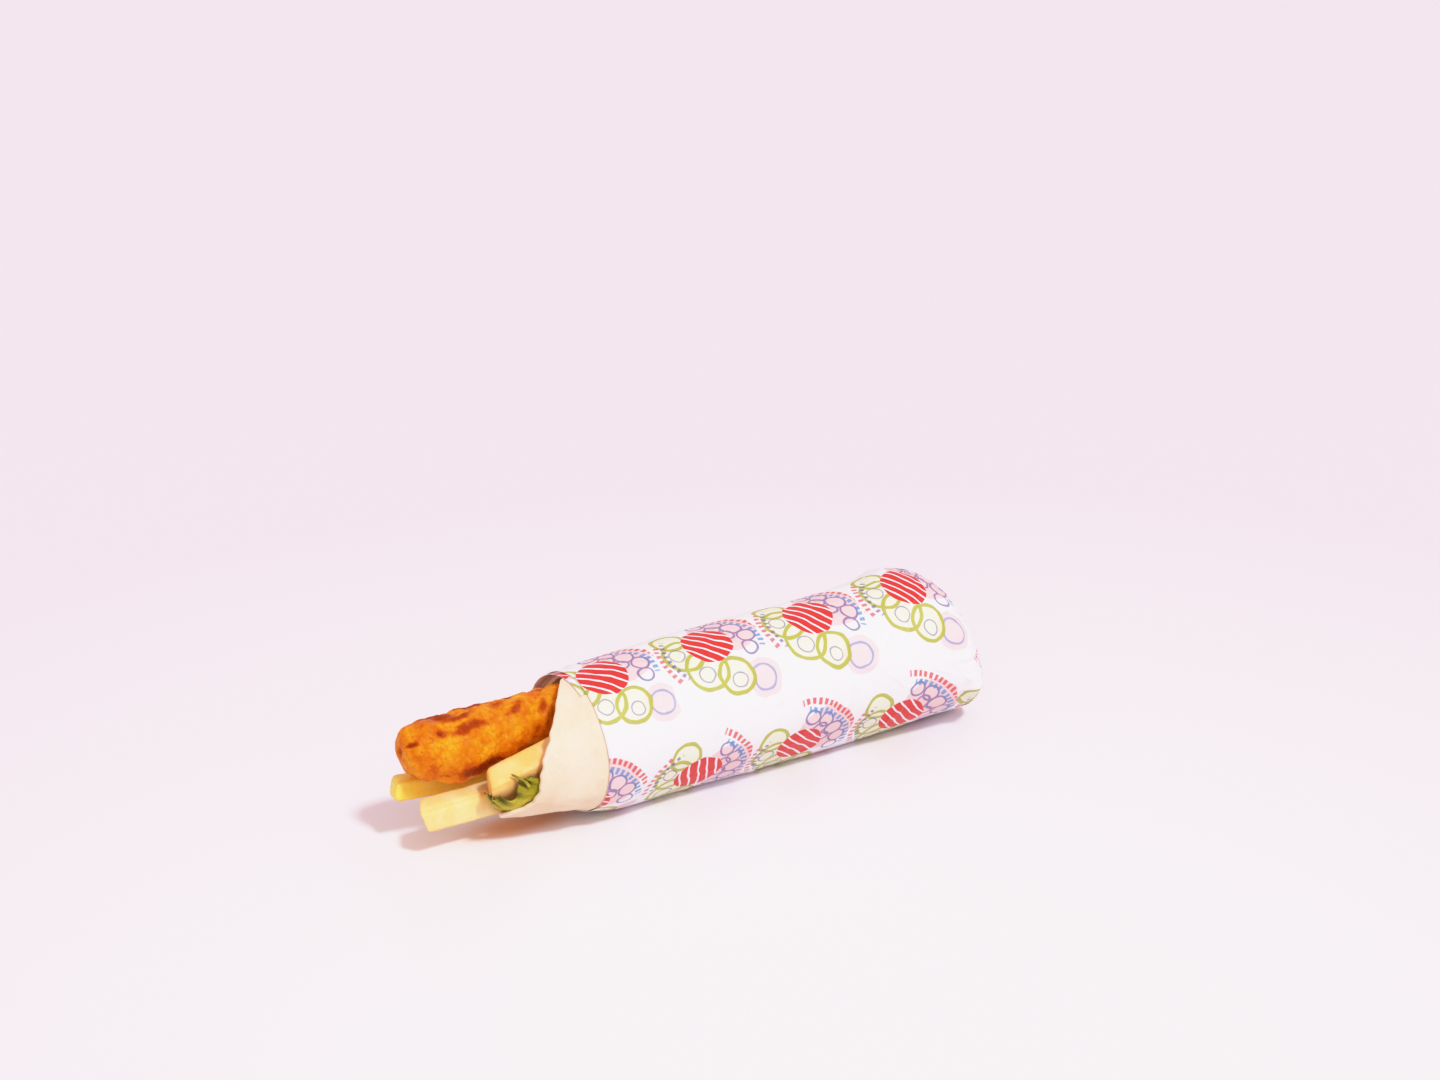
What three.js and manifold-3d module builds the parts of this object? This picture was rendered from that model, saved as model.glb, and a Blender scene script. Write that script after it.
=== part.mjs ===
// Chicken kebab sandwich lying on its side: flatbread rolled round a grilled minced-chicken kebab, three
// thick fries and a salad leaf, in a greaseproof paper sleeve whose far end is pleated shut.
// Units are millimetres. +Z is up, +X runs from the open mouth to the closed end, and the flatbread's loose
// corner hangs out on the -Y side. A point at "reach" s stands that far in front of the mouth: its x is -s.
// Angles round the roll start at +Y and pass through +Z: 90 is the top, 180 the front and 270 the bottom.
import * as THREE from "three";
import { mergeVertices } from "three/addons/utils/BufferGeometryUtils.js";
import Module from "manifold-3d";

const { clamp, degToRad, lerp, radToDeg, smoothstep } = THREE.MathUtils;

// Driving dimensions
const sleeve = {
  mouthRadius: 28.2, // inner face of the paper's first layer
  swell: 1.75, // how much wider the roll gets behind the mouth
  swellLength: 50,
  length: 186,
  thickness: 0.5,
  layerPitch: 0.9, // how far each turn of paper lies outside the last
  overlap: 150, // degrees of second layer
  startAngle: 115, // where the paper's inner edge lies, and the double layer begins
  innerEdgeReach: 2.6, // the inner edge stands this far out of the mouth
  endHole: 1, // radius left open where the pleats meet
  cornerRadius: 9,
  endDish: 3, // how far the middle of the closed end is pushed in
  endLean: 0.22, // the closed end leans back towards the top
  endLeanLength: 45,
  bulge: { height: 2.8, x: 161, halfLength: 17, angle: 70 },
  pleats: { count: 12, depth: 1.3 },
  foldedEar: { height: 4.2, angle: 197, halfAngle: 9, x: 182, halfLength: 7 },
  segments: { round: 68, wall: 12, corner: 4, end: 4 },
};
const restFlat = 0.8; // how much of the round underside is pressed flat

const bread = {
  mouthRadius: 27.6,
  taper: 0.09, // radius lost for each millimetre of reach
  taperCurve: 0.0021, // and for its square
  thickness: 1.7,
  cavityDepth: 14, // the fillings close the roll this far inside the mouth
  clearance: 0.45, // to the paper round it
  farEnd: { gap: 12.5, round: 5 }, // to the sleeve's far end, and the rounding of the bread's own
  wave: 0.3,
  segments: 48,
  // Angle and reach of the cut edge all the way round: the loose corner is at 232 degrees
  edge: [
    [30, -3],
    [60, -1],
    [85, 2],
    [110, 11.5],
    [146, 23.5],
    [183, 29.5],
    [210, 35.5],
    [232, 39.5],
    [266, 33],
    [295, 15],
    [325, 0],
    [360, -5],
    [390, -3],
  ],
};

const kebab = {
  tipReach: 72,
  length: 225,
  tipRound: 6.5, // length of the rounded tip
  y: 7.2,
  top: 22.4, // above the roll's centre line
  width: 0.9, // of its height
  // Reach and half height: thickest a little behind the tip
  girth: [
    [72, 9.6],
    [66, 10.7],
    [60, 12.2],
    [53, 13.5],
    [44, 13.5],
    [30, 12.4],
    [10, 11.5],
    [-200, 11.5],
  ],
  skewerHole: { radius: 2.2, depth: 2.4 },
};

// Centre at the cut end and at the inner end, as reach, y and height over the roll's centre line. slant is
// how much further back the cut lies towards +Y and towards the underside.
const fries = [
  {
    name: "fry_front",
    look: "fry",
    size: 11.4,
    from: [66.2, -1, -12.5],
    to: [-22, -1, -12.5],
    turn: 2,
    slant: [0.55, 0.36],
  },
  {
    name: "fry_middle",
    look: "fry",
    size: 12,
    from: [43, -10.4, -2.8],
    to: [-6, -12.4, 9.4],
    turn: 27,
    slant: [0.1, 0.3],
  },
  {
    name: "fry_back",
    look: "goldenFry",
    size: 9.6,
    from: [72, 13.8, -6.3],
    to: [8, 15.4, -13],
    turn: -4,
    slant: [0.15, -0.2],
  },
];
const frySquareness = 5; // power of the rounded square section

const leaf = {
  thickness: 0.7,
  frill: 0.75,
  frillWaves: 5.5,
  // Three lines along the leaf, from the bread's loose corner up, as reach, y and height over the centre line
  root: [
    [37, -11.2, -13.6],
    [34.5, -14.6, -11.8],
    [31, -17.2, -9.4],
    [26, -19.8, -5.8],
    [21, -21.5, -1],
  ],
  middle: [
    [44, -12.8, -12.6],
    [43, -16.2, -10],
    [38.5, -18.4, -7.2],
    [33, -19.7, -3],
    [27, -20.6, 0.6],
  ],
  tip: [
    [47.4, -12.4, -0.8],
    [46.6, -17.8, -2.2],
    [42.5, -19.6, -1.2],
    [37, -20.3, 2],
    [31, -20.6, 3.4],
  ],
  stalk: {
    radius: 0.75,
    line: [
      [29.5, -20.5, 2.2],
      [32, -19.4, 5],
      [34, -16.9, 6.5],
      [36, -14.6, 7.4],
    ],
  },
};

// Room round each filling, where it passes through the bread
const pocketGap = 0.4;
const pocketRunOn = 5;
const kebabMargin = 0.6; // for the kebab's lumps

const materials = {
  paper: { color: 0xf6f1f0, roughness: 0.55 },
  bread: { color: 0xf0dfc4, roughness: 0.8 },
  kebab: { color: 0xe0811c, roughness: 0.45 },
  fry: { color: 0xf7dc86, roughness: 0.6 },
  goldenFry: { color: 0xeeb03c, roughness: 0.5 },
  leaf: { color: 0x7e8418, roughness: 0.6 },
};

const wasm = await Module();
wasm.setup();

// The roll's own shape, shared by the paper, the bread and what is inside
const swollen = (x) => sleeve.swell * (1 - Math.exp(-Math.max(0, x) / sleeve.swellLength));
const paperInner = (x) => sleeve.mouthRadius + swollen(x);
const windingAtBottom = (sleeve.startAngle + 90) / 360;
const centreHeight = (x) =>
  paperInner(x) + windingAtBottom * sleeve.layerPitch + sleeve.thickness - restFlat;

function ringPoint(x, angle, radius, floor = -Infinity) {
  const a = degToRad(angle);
  const z = Math.max(centreHeight(x) + radius * Math.sin(a), floor);
  const lean = sleeve.endLean * smoothstep(x, sleeve.length - sleeve.endLeanLength, sleeve.length);
  return new THREE.Vector3(x - lean * z, radius * Math.cos(a), z);
}

// Moves every vertex of a geometry to where place() puts it, and keeps positions only
function reshape(geometry, place) {
  geometry.deleteAttribute("normal");
  geometry.deleteAttribute("uv");
  const position = geometry.getAttribute("position");
  for (let i = 0; i < position.count; i++) {
    const p = place(new THREE.Vector3().fromBufferAttribute(position, i));
    position.setXYZ(i, p.x, p.y, p.z);
  }
  return mergeVertices(geometry, 1e-4);
}

function toSolid(geometry) {
  const vertProperties = geometry.getAttribute("position").array;
  const triVerts = new Uint32Array(geometry.index.array);
  return new wasm.Manifold(new wasm.Mesh({ numProp: 3, vertProperties, triVerts }));
}

function toGeometry(solid) {
  const { vertProperties, triVerts } = solid.getMesh();
  return new THREE.BufferGeometry()
    .setAttribute("position", new THREE.BufferAttribute(vertProperties, 3))
    .setIndex(new THREE.BufferAttribute(triVerts, 1));
}

function piece(name, geometry, look) {
  geometry.computeVertexNormals();
  const mesh = new THREE.Mesh(geometry, new THREE.MeshStandardMaterial({ ...look, metalness: 0 }));
  mesh.name = name;
  return mesh;
}

// Angle from a to b on the circle, in degrees from -180 to 180
const angleBetween = (a, b) => ((((a - b) % 360) + 540) % 360) - 180;
const bell = (x, middle, half) => Math.exp(-(((x - middle) / half) ** 2));

// Paper sleeve: one flat sheet wound a turn and a half. u runs round the winding, w from the inner face to
// the outer, and v from the mouth along the wall, round the corner and in over the closed end.
const sleeveSteps = sleeve.segments.wall + sleeve.segments.corner + sleeve.segments.end;

function sleeveMeridian(v, wind) {
  const { wall, corner, end } = sleeve.segments;
  const { length, cornerRadius, innerEdgeReach, endHole, endDish } = sleeve;
  const step = v * sleeveSteps;
  const front = lerp(-innerEdgeReach, 0, wind / 360);
  const alongWall = 1 - (1 - Math.min(step / wall, 1)) ** 1.35; // shorter steps towards the far end
  const turn = clamp((step - wall) / corner, 0, 1) * (Math.PI / 2);
  const inward = Math.max(0, (step - wall - corner) / end);
  const flatWidth = paperInner(length) - cornerRadius - endHole;
  return {
    x: lerp(front, length - cornerRadius, alongWall) + cornerRadius * Math.sin(turn) - endDish * inward,
    inset: cornerRadius * (1 - Math.cos(turn)) + flatWidth * inward,
    alongX: Math.sin(turn), // how much of the sheet's normal points along the roll
  };
}

function bulgeAndEar(x, angle, alongX) {
  const { bulge, foldedEar } = sleeve;
  const facing = Math.max(0, Math.cos(degToRad(angleBetween(angle, bulge.angle))));
  const aroundEar = bell(angleBetween(angle, foldedEar.angle), 0, foldedEar.halfAngle);
  return (
    bulge.height * facing * bell(x, bulge.x, bulge.halfLength) +
    foldedEar.height * aroundEar * bell(x, foldedEar.x, foldedEar.halfLength) * (1 - alongX)
  );
}

function pleatAt(angle, inset) {
  const { count, depth } = sleeve.pleats;
  const wave = Math.abs(Math.sin((degToRad(angle - sleeve.startAngle) * count) / 2));
  return depth * wave * smoothstep(inset, 1, 10);
}

function sleevePoint(u, v, w) {
  const wind = u * (360 + sleeve.overlap);
  const angle = sleeve.startAngle - wind;
  const { x, inset, alongX } = sleeveMeridian(v, wind);
  const layer = (sleeve.layerPitch * wind) / 360 + sleeve.thickness * w;
  const outward = layer * Math.sqrt(1 - alongX ** 2);
  const radius = paperInner(x) - inset + bulgeAndEar(x, angle, alongX) + outward;
  const floor = sleeve.thickness * (1 - w) * (1 - alongX);
  const p = ringPoint(x, angle, radius, floor);
  p.x += (layer + pleatAt(angle, inset)) * alongX;
  return p;
}

function makeSleeve() {
  const sheet = new THREE.BoxGeometry(1, 1, 1, sleeve.segments.round, sleeveSteps, 1);
  return reshape(sheet, ({ x, y, z }) => sleevePoint(x + 0.5, y + 0.5, 0.5 - z));
}

// Flatbread: a roll that is solid round its fillings, with a thin cut edge hanging out of the mouth
function edgeReach(angle) {
  const { edge } = bread;
  const first = edge[0][0];
  const a = ((((angle - first) % 360) + 360) % 360) + first;
  const next = edge.findIndex(([at]) => at > a);
  const [a0, s0] = edge[next - 1];
  const [a1, s1] = edge[next];
  const even = (a - a0) / (a1 - a0);
  return lerp(s0, s1, lerp(even, smoothstep(even, 0, 1), 0.35));
}

const breadRadius = (s) =>
  s > 0
    ? bread.mouthRadius - bread.taper * s - bread.taperCurve * s * s
    : bread.mouthRadius + swollen(-s);

// Slow waves in the sheet of bread
const breadWave = (x, angle) =>
  bread.wave * Math.sin(x * 0.21 + degToRad(angle) * 2) * Math.sin(degToRad(angle) * 5 + x * 0.08);

// A closed solid of rings, placed by their row number and angle. The first and last rows meet on the axis.
function makeRings(rows, segments, place) {
  const profile = [new THREE.Vector2(0, 0)];
  for (let row = 0; row < rows; row++) profile.push(new THREE.Vector2(1, row));
  profile.push(new THREE.Vector2(0, rows - 1));
  return reshape(new THREE.LatheGeometry(profile, segments), ({ x, y, z }) => {
    const onAxis = Math.hypot(x, z) < 0.5;
    return place(Math.round(y), 360 - radToDeg(Math.atan2(z, x)), onAxis);
  });
}

function makeBread() {
  const { cavityDepth, thickness, farEnd, clearance } = bread;
  const farX = sleeve.length - farEnd.gap;
  // Each station is the layer, 0 on the inner face and 1 on the outer, and where it lies: a share of the way
  // out to the cut edge, or a plain x
  const share = (layer, k) => ({ layer, k });
  const stations = [
    { layer: 0, x: cavityDepth },
    ...[0, 0.25, 0.5, 0.75].map((k) => share(0, k)),
    share(0.15, 1),
    share(0.85, 1),
    ...[0.75, 0.5, 0.25, 0].map((k) => share(1, k)),
    ...[0.2, 0.4, 0.6, 0.8, 1].map((k) => ({ layer: 1, x: k * (farX - farEnd.round) })),
    { layer: 1, x: farX, inset: farEnd.round },
  ];
  return makeRings(stations.length, bread.segments, (row, angle, onAxis) => {
    const { layer, k, x, inset = 0 } = stations[row];
    const reach = k === undefined ? -x : k * edgeReach(angle);
    if (onAxis) return ringPoint(x, angle, 0);
    const wave = breadWave(-reach, angle) * smoothstep(reach, 1, 12);
    const radius = breadRadius(reach) + wave - thickness * (1 - layer) - inset;
    const lowest = sleeve.thickness + clearance + thickness * (1 - layer);
    return ringPoint(-reach, angle, radius, reach < 8 ? lowest : -Infinity);
  });
}

// Minced-chicken kebab: a hand-pressed sausage with a hole where its skewer was
function kebabGirth(s) {
  const i = clamp(kebab.girth.findIndex(([reach]) => reach < s) - 1, 0, kebab.girth.length - 2);
  const [s0, r0] = kebab.girth[i];
  const [s1, r1] = kebab.girth[i + 1];
  return lerp(r0, r1, smoothstep(s0 - s, 0, s0 - s1));
}

// Finger ridges and lumps of the pressed mince
function kebabLumps(s, angle) {
  const a = degToRad(angle);
  return (
    0.45 * Math.sin(s * 0.33 + 1.3 * Math.sin(a + 0.6)) +
    0.4 * Math.sin(s * 0.61 + 2 * a + 1.1) * Math.sin(3 * a - s * 0.12) +
    0.3 * Math.sin(5 * a + s * 0.47) * Math.sin(s * 0.83 + 1.7)
  );
}

// share is how far out the point is, from 0 on the centre line to 1 on the surface
function kebabPoint(s, angle, share, added = 0) {
  const girth = kebabGirth(s);
  const radius = girth * share + added;
  const a = degToRad(angle);
  const z = centreHeight(0) + kebab.top - girth + radius * Math.sin(a);
  return new THREE.Vector3(-s, kebab.y + radius * kebab.width * Math.cos(a), z);
}

function kebabStations() {
  const { tipReach, length, tipRound, skewerHole } = kebab;
  const round = [0.1, 0.28, 0.5, 0.7, 0.87, 0.97, 1];
  return [
    { s: tipReach - skewerHole.depth, share: 0.05 },
    { s: tipReach, share: skewerHole.radius / kebabGirth(tipReach) },
    ...round.map((k) => ({ s: tipReach - tipRound * k, share: Math.sqrt(1 - (1 - k) ** 2.3) })),
    ...Array.from({ length: 15 }, (_, i) => ({ s: tipReach - tipRound - 4.4 * (i + 1), share: 1 })),
    ...[0.2, 0.45, 0.7, 0.93].map((k) => ({ s: lerp(0, tipReach - length, k), share: 1 })),
    { s: tipReach - length, share: 0.7 },
  ];
}

function makeKebab() {
  const stations = kebabStations();
  return makeRings(stations.length, 28, (row, angle, onAxis) => {
    const { s, share } = stations[row];
    const lumps = kebabLumps(s, angle) * smoothstep(share, 0.3, 1) * smoothstep(s, -20, 0);
    return onAxis ? kebabPoint(s, angle, 0) : kebabPoint(s, angle, share, lumps);
  });
}

// The way through the bread that a kebab of that size fills
function kebabPocket() {
  const stops = [60, 45, 30, 15, 0, kebab.tipReach - kebab.length - 1];
  return makeRings(stops.length, 24, (row, angle, onAxis) =>
    onAxis ? kebabPoint(stops[row], angle, 0) : kebabPoint(stops[row], angle, 1, kebabMargin + pocketGap),
  );
}

// Fry: a potato stick with softened edges, and the pocket that it fills in the bread
function fryPoint({ from, to, turn }, k, side, up) {
  const start = new THREE.Vector3(-from[0], from[1], centreHeight(0) + from[2]);
  const end = new THREE.Vector3(-to[0], to[1], centreHeight(0) + to[2]);
  const roll = degToRad(turn);
  const p = start.lerp(end, k);
  p.y += side * Math.cos(roll) - up * Math.sin(roll);
  p.z += side * Math.sin(roll) + up * Math.cos(roll);
  return p;
}

function makeFry(fry) {
  return reshape(new THREE.BoxGeometry(1, 2, 2, 12, 4, 4), ({ x, y, z }) => {
    const k = x + 0.5;
    const square = Math.max(Math.abs(y), Math.abs(z));
    const rounded = (Math.abs(y) ** frySquareness + Math.abs(z) ** frySquareness) ** (1 / frySquareness);
    const worn = 0.15 * Math.sin(k * 19 + y * 2) + 0.12 * Math.sin(k * 31 + z * 3);
    const endShare = 1 - 0.12 * Math.abs(2 * x) ** 10;
    const half = (fry.size / 2 - 0.3 + worn) * endShare * (rounded > 0 ? square / rounded : 1);
    const p = fryPoint(fry, k, y * half, z * half);
    p.x += (fry.slant[0] * y - fry.slant[1] * z) * half * (1 - k) ** 3;
    return p;
  });
}

function fryPocket(fry) {
  const half = fry.size / 2 + pocketGap;
  return reshape(new THREE.BoxGeometry(1, 2, 2, 1, 2, 2), ({ x, y, z }) => {
    const p = fryPoint(fry, x + 0.5, y * half, z * half);
    p.x += pocketRunOn * Math.sign(x);
    return p;
  });
}

// Salad leaf: a thin frilly sheet tucked between the bread's loose corner and the middle fry
const inRoll = ([reach, y, z]) => new THREE.Vector3(-reach, y, centreHeight(0) + z);
const lineThrough = (points) => new THREE.CatmullRomCurve3(points.map(inRoll));
const leafLines = [leaf.root, leaf.middle, leaf.tip].map(lineThrough);

function leafSheet(u, v) {
  const [root, middle, tip] = leafLines.map((line) => line.getPoint(clamp(u, 0, 1)));
  return root
    .multiplyScalar((1 - v) ** 2)
    .addScaledVector(middle, 2 * v * (1 - v))
    .addScaledVector(tip, v ** 2);
}

function leafPoint(u, v, side) {
  const step = 0.02;
  const point = leafSheet(u, v);
  const across = leafSheet(u + step, v).sub(leafSheet(u - step, v));
  const along = leafSheet(u, v + step).sub(leafSheet(u, v - step));
  const outward = across.cross(along).normalize();
  const frill = leaf.frill * Math.sin(2 * Math.PI * leaf.frillWaves * u) * v ** 1.6;
  return point.addScaledVector(outward, frill + leaf.thickness * side);
}

function makeLeaf() {
  const sheet = reshape(new THREE.BoxGeometry(1, 1, 1, 28, 7, 1), ({ x, y, z }) => {
    const scallop = 1 - 0.1 * (1 + Math.cos(6 * Math.PI * leaf.frillWaves * x)) * (y + 0.5) ** 4;
    return leafPoint(x + 0.5, (y + 0.5) * scallop, z);
  });
  const line = lineThrough(leaf.stalk.line);
  const stalk = reshape(new THREE.CylinderGeometry(1, 1, 1, 8, 6), ({ x, y, z }) => {
    const forward = line.getTangent(y + 0.5);
    const sideways = new THREE.Vector3(0, 0, 1).cross(forward).normalize();
    const upward = forward.clone().cross(sideways);
    const radius = leaf.stalk.radius * (1.15 - 0.4 * (y + 0.5));
    return line.getPoint(y + 0.5).addScaledVector(sideways, x * radius).addScaledVector(upward, -z * radius);
  });
  return toGeometry(toSolid(sheet).add(toSolid(stalk)));
}

function makeBreadRound(pockets) {
  const solid = pockets.reduce((rest, pocket) => rest.subtract(toSolid(pocket)), toSolid(makeBread()));
  return toGeometry(solid);
}

const roll = new THREE.Group();
roll.add(
  piece("paper_sleeve", makeSleeve(), materials.paper),
  piece("flatbread", makeBreadRound([kebabPocket(), ...fries.map(fryPocket)]), materials.bread),
  piece("chicken_kebab", makeKebab(), materials.kebab),
  ...fries.map((fry) => piece(fry.name, makeFry(fry), materials[fry.look])),
  piece("salad_leaf", makeLeaf(), materials.leaf),
);

// The origin is the middle of the underside of the whole
const bounds = new THREE.Box3().setFromObject(roll);
roll.position.set(-(bounds.min.x + bounds.max.x) / 2, -(bounds.min.y + bounds.max.y) / 2, -bounds.min.z);

export default roll;
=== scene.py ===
import math

import bpy
import numpy as np
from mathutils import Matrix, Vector, noise


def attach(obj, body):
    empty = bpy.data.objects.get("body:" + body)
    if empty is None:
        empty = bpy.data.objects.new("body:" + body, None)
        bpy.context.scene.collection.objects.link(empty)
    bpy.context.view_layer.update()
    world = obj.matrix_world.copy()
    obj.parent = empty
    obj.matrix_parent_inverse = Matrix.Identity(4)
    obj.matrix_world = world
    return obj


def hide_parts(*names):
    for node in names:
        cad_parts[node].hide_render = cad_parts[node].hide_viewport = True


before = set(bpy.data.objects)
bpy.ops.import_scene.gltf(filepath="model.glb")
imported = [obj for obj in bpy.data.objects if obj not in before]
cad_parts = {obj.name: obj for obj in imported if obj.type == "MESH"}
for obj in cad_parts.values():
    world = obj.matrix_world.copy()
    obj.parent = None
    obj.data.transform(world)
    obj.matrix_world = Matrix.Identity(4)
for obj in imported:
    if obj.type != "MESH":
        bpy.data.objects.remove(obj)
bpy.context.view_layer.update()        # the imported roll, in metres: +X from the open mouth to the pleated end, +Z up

scene = bpy.context.scene

# A chicken kebab sandwich: flatbread rolled round a grilled minced-chicken kebab, three thick fries and
# a salad leaf, in a printed greaseproof paper sleeve. Shapes are worked out in millimetres from the middle of the
# mouth: x runs into the roll, and a point at "reach" stands that far in front of the mouth.
# Angles go round the roll from +Y over the top: 90 is the top, 180 the front, 270 the bottom.
roll = {
    "mouthAt": (-56.49, -0.28, 0.0),
    "mouthRadius": 28.2,       # inner face of the paper's first layer
    "swell": 1.75,             # how much wider the roll gets behind the mouth
    "swellLength": 50,
    "restFlat": 0.8,           # how much of the round underside is pressed flat
    "length": 186,
    "endLean": 0.22,           # the closed end leans back towards the top
    "endLeanLength": 45,
    "sag": 1.1,                # the soft roll's weight widens the flat strip it lies on
    "sagAt": 15.5,             # degrees to both sides of the bottom
    "sagHalf": 8,
    "sagRise": (0, 12),        # the x over which it sets in
    "flatter": 2.0,            # low at the front the roll is a little flatter than round
    "flatterAt": 215,
    "flatterHalf": 23,
    "flatterRise": (4, 34),
    "skinRadius": (20, 26),    # only what lies this far out is widened or flattened
    "mouthLift": 2.8,          # how far the underside rises from the ground at the mouth
    "mouthLiftRise": (-16, 4),  # the reach over which it does
    "mouthLiftLost": 0.45,     # share that is lost again further out
    "mouthLiftFall": (12, 40),
    "endLift": 1.7,            # how far it rises at the closed end
    "endLiftRise": (128, 172),
    "liftRadius": (8, 24),     # only what lies this far out is lifted,
    "liftLow": (0.3, 1),       # and this low on the round, from 0 at the middle to 1 at the bottom
}
farBelow = -1e9                # a floor so low that it holds nothing up

sleeve = {
    "cadThickness": 0.5,
    "paperThickness": 0.22,
    "layerPitch": 0.9,
    "lapPitch": 0.5,           # real laps lie closer on each other than the solid's
    "wound": 510,              # degrees of paper from its inner edge to its outer one
    "startAngle": 115,
    "innerEdgeReach": 2.6,
    "endHole": 0.6,
    "cornerRadius": 12,
    "lowCorner": {"tighter": 6, "angle": 238, "halfAngle": 40},    # the closed end's edge is sharper low at the front
    "endDish": 3,
    "leastRadius": 0.4,
    "edgeWave": 0.3,           # how far the sheet's edge at the mouth strays
    "bulge": {"height": 2.8, "x": 161, "halfLength": 17, "angle": 70},
    "ear": {"height": 4.2, "angle": 197, "halfAngle": 9, "x": 182, "halfLength": 7},
    "pleats": 12,
    "pleatDepth": 1.3,
    "pleatInset": (1, 10),     # how far in from the wall they grow to that depth
    "pleatTwist": 0.55,        # how far a pleat turns on its way to the middle, in pleats
    "pleatUneven": 0.1,
    "pleatRise": 0.72,         # share of a pleat that rises slowly, before it falls
    "pleatPower": 0.8,
    "pleatCrumple": 0.18,
    "shoulderFold": 0.9,       # how deep the pleats still are where they come round the shoulder
    "shoulder": (26, 6),       # from the closed end
    "creases": 74,
    "creaseDepth": 0.62,
    "creaseSeed": 5,
    "creaseX": (4, 176),
    "creaseDirections": [18, 75, 90, 118],     # degrees from the roll's length
    "creaseSwing": 14,
    "creaseHalfLength": (6, 22),
    "creaseWidth": (0.7, 1.9),
    "creaseShare": (0.35, 1),  # of the full depth
    "creaseBow": 0.0012,
    "slowWave": 0.22,
    "aboutRadius": 30,         # turns degrees round the roll into millimetres
    "hiddenDegrees": 150,      # the sheet's inner part, under the next layer, has coarser columns
    "hiddenColumns": 26,
    "shownColumns": 226,
    "wallRows": 118,
    "cornerRows": 14,
    "endRows": 30,
}


def toLinear(hexColour):
    parts = [int(hexColour[i:i + 2], 16) / 255 for i in (1, 3, 5)]
    return tuple(c / 12.92 if c <= 0.04045 else ((c + 0.055) / 1.055) ** 2.4 for c in parts) + (1.0,)


def setSockets(tree, node, sockets):
    for socket, value in sockets.items():
        if isinstance(value, bpy.types.Node):
            value = value.outputs[0]
        if isinstance(value, bpy.types.NodeSocket):
            tree.links.new(value, node.inputs[socket])
        else:
            isColour = isinstance(value, str) and value.startswith("#")
            node.inputs[socket].default_value = toLinear(value) if isColour else value


def addNode(tree, kind, settings=None, sockets=None):
    node = tree.nodes.new(kind)
    for name, value in (settings or {}).items():
        if name != "stops":
            setattr(node, name, value)
            continue
        elements = node.color_ramp.elements       # a ramp's colours, each with its place
        while len(elements) < len(value):
            elements.new(0.5)
        for element, (at, colour) in zip(elements, value):
            element.position, element.color = at, toLinear(colour)
    setSockets(tree, node, sockets or {})
    return node


def newMaterial(name):
    material = bpy.data.materials.new(name)
    material.use_nodes = True
    return material, material.node_tree, material.node_tree.nodes["Principled BSDF"]


# Helpers for shapes: arrays of points are (..., 3) in millimetres
def smoothStep(x, low, high):
    t = np.clip((x - low) / (high - low), 0, 1)
    return t * t * (3 - 2 * t)


def bell(x, middle, half):
    return np.exp(-(((x - middle) / half) ** 2))


def turnBetween(a, b):
    return (a - b + 540) % 360 - 180


def softNoise(points, size, seed, octaves=3):
    shift = Vector((17.3, 5.1, 11.7)) * seed
    flat = np.asarray(points).reshape(-1, 3) / size
    values = [noise.fractal(Vector(p) + shift, 0.9, 2.1, octaves) for p in flat]
    return np.array(values).reshape(np.shape(points)[:-1])


def cellNoise(points, size, seed):
    # distance to the nearest cell centre, and from there to the next nearest, in cell sizes
    shift = Vector((7.7, 13.9, 3.3)) * seed
    flat = np.asarray(points).reshape(-1, 3) / size
    nearest = np.array([noise.voronoi(Vector(p) + shift)[0][:2] for p in flat])
    shape = np.shape(points)[:-1]
    return nearest[:, 0].reshape(shape), (nearest[:, 1] - nearest[:, 0]).reshape(shape)


def gridFaces(rows, columns, first=0, wrap=False):
    index = first + np.arange(rows * columns).reshape(rows, columns)
    if wrap:
        index = np.hstack([index, index[:, :1]])
    corners = (index[:-1, :-1], index[:-1, 1:], index[1:, 1:], index[1:, :-1])
    return np.stack([c.ravel() for c in corners], 1).tolist()


def tubeFaces(rings, columns):
    # closed rings one after the other, with a fan at each end round one of the two points that follow them
    count = rings * columns
    last = count - columns
    faces = gridFaces(rings, columns, 0, wrap=True)
    faces += [(count, (i + 1) % columns, i) for i in range(columns)]
    faces += [(count + 1, last + i, last + (i + 1) % columns) for i in range(columns)]
    return faces


def sheetFaces(rows, columns):
    # a sheet's outer face, then its inner one, then the edge that joins them all round
    count = rows * columns
    index = np.arange(count).reshape(rows, columns)
    edge = np.concatenate([index[0, :-1], index[:-1, -1], index[-1, :0:-1], index[:0:-1, 0]]).tolist()
    faces = gridFaces(rows, columns) + [f[::-1] for f in gridFaces(rows, columns, count)]
    return faces + [(a, b, b + count, a + count) for a, b in zip(edge[1:] + edge[:1], edge)]


def makeMesh(name, points, faces):
    # a closed body at its place in the frame, with its faces turned outwards
    points = (np.asarray(points, float) + roll["mouthAt"]) / 1000
    corners = [(f[0], f[i], f[i + 1]) for f in faces for i in range(1, len(f) - 1)]
    a, b, c = points[np.array(corners)].transpose(1, 0, 2)
    inwards = np.einsum("ij,ij->", a, np.cross(b, c)) < 0
    mesh = bpy.data.meshes.new(name)
    mesh.from_pydata(points.tolist(), [], [f[::-1] for f in faces] if inwards else faces)
    mesh.shade_smooth()
    mesh.update()
    return mesh


def addPiece(name, mesh, materials):
    piece = bpy.data.objects.new(name, mesh)
    scene.collection.objects.link(piece)
    for material in materials:
        mesh.materials.append(material)
    return piece


def addAttribute(mesh, name, values):
    layer = mesh.attributes.new(name, "FLOAT", "POINT")
    layer.data.foreach_set("value", np.asarray(values, np.float32).ravel())


def swollen(x):
    return roll["swell"] * (1 - np.exp(-np.maximum(0, x) / roll["swellLength"]))


def paperInner(x):
    return roll["mouthRadius"] + swollen(x)


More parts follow.
